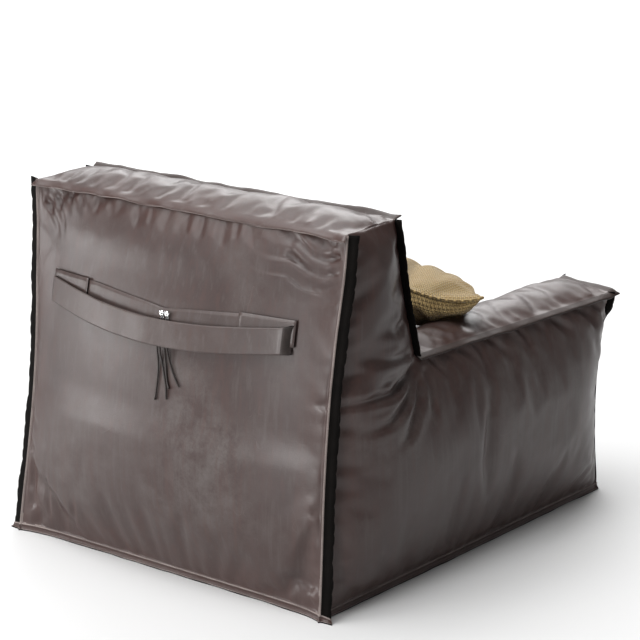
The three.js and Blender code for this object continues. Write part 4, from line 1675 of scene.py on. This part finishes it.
class Studio:
    """Camera, floor and soft light."""

    def camera(self) -> None:
        """Sets the camera behind the chair, to its right."""
        data = bpy.data.cameras.new("view_camera")
        data.lens = 129.78
        data.sensor_width = 36.0
        data.clip_end = 300.0
        camera = bpy.data.objects.new("view_camera", data)
        bpy.context.scene.collection.objects.link(camera)
        camera.location = (-3.0433, 3.8868, 1.8480)
        aim = Vector((-0.028, 0.0, 0.4477)) - camera.location
        camera.rotation_euler = aim.to_track_quat("-Z", "Y").to_euler()
        bpy.context.scene.camera = camera

    def floor(self) -> None:
        """Lays the pale floor."""
        bm = bmesh.new()
        bmesh.ops.create_grid(bm, x_segments=2, y_segments=2, size=120)
        r = Recipe("pale_floor")
        speck = r.noise(2.0, 2.0)
        paint = r.dress(Base_Color=r.blend(speck, (0.60, 0.60, 0.60, 1), (0.62, 0.62, 0.62, 1)), Roughness=0.8)
        publish("studio_floor", bm, (paint,))

    def lights(self) -> None:
        """Hangs the soft lights and sets the pale surroundings."""
        world = bpy.data.worlds.new("pale_room")
        world.use_nodes = True
        sky = world.node_tree.nodes["Background"]
        sky.inputs["Color"].default_value = (1.0, 1.0, 1.0, 1)
        sky.inputs["Strength"].default_value = 0.16
        bpy.context.scene.world = world
        bpy.context.scene.view_settings.view_transform = "Standard"
        for name, place, aim, size, power in (
            ("overhead_softbox", (0.3, 0.3, 3.3), CHAIR_MIDDLE, 2.6, 70),
            ("low_left_softbox", (3.0, 2.6, 0.5), CHAIR_MIDDLE, 1.0, 38),
            ("high_left_softbox", (1.6, 3.0, 2.8), CHAIR_MIDDLE, 1.5, 34),
            ("rear_softbox", (-0.3, 4.4, 1.2), CHAIR_MIDDLE, 1.2, 92),
            ("far_softbox", (5.0, -7.0, 5.0), (5.0, -7.0, 0.0), 8.0, 1150),
        ):
            data = bpy.data.lights.new(name, "AREA")
            data.shape = "SQUARE"
            data.size = size
            data.energy = power
            self.hang(data, place, aim)
        sun = bpy.data.lights.new("soft_sun", "SUN")
        sun.angle = math.radians(60)
        sun.energy = 1.9
        self.hang(sun, (0.5, 1.0, 3.0), (0.0, 0.0, 0.0))

    def hang(self, data: bpy.types.Light, place: Sequence[float], aim: Sequence[float]) -> None:
        """Puts a light in place and turns it towards a point."""
        lamp = bpy.data.objects.new(data.name, data)
        bpy.context.scene.collection.objects.link(lamp)
        lamp.location = place
        lamp.rotation_euler = (Vector(aim) - lamp.location).to_track_quat("-Z", "Y").to_euler()

    def build(self) -> None:
        """Sets up the studio."""
        self.floor()
        self.lights()


class CarriedOver:
    """CAD nodes that keep their shape and get their finish."""

    def __init__(self, wardrobe: Wardrobe) -> None:
        """Pairs each node with its finish."""
        w = wardrobe
        self.finishes: dict[str, bpy.types.Material] = {"zip_tape": w.zip_cloth, "zip_chain": w.zip_cloth}
        for side in ("left", "right"):
            self.finishes[f"zip_slider_{side}"] = w.metal
        for sack in ("seat", "left_arm", "right_arm", "backrest"):
            self.finishes[f"{sack}_liner"] = w.liner
            self.finishes[f"{sack}_bead_fill"] = w.beads

    def build(self) -> None:
        """Assigns the finishes."""
        for node, material in self.finishes.items():
            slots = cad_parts[node].material_slots
            for slot in slots:
                slot.material = material


def main() -> None:
    """Builds the chair in order."""
    logging.basicConfig(level=logging.INFO, format="%(message)s")
    studio = Studio()
    studio.camera()
    wardrobe = Wardrobe()
    fastening = RearFastening(wardrobe)
    fastening.laces()
    studio.build()
    Cover(wardrobe).build()
    fastening.build()
    ScatterCushion(wardrobe).build()
    CarriedOver(wardrobe).build()
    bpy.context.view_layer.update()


if __name__ == "__main__":
    main()
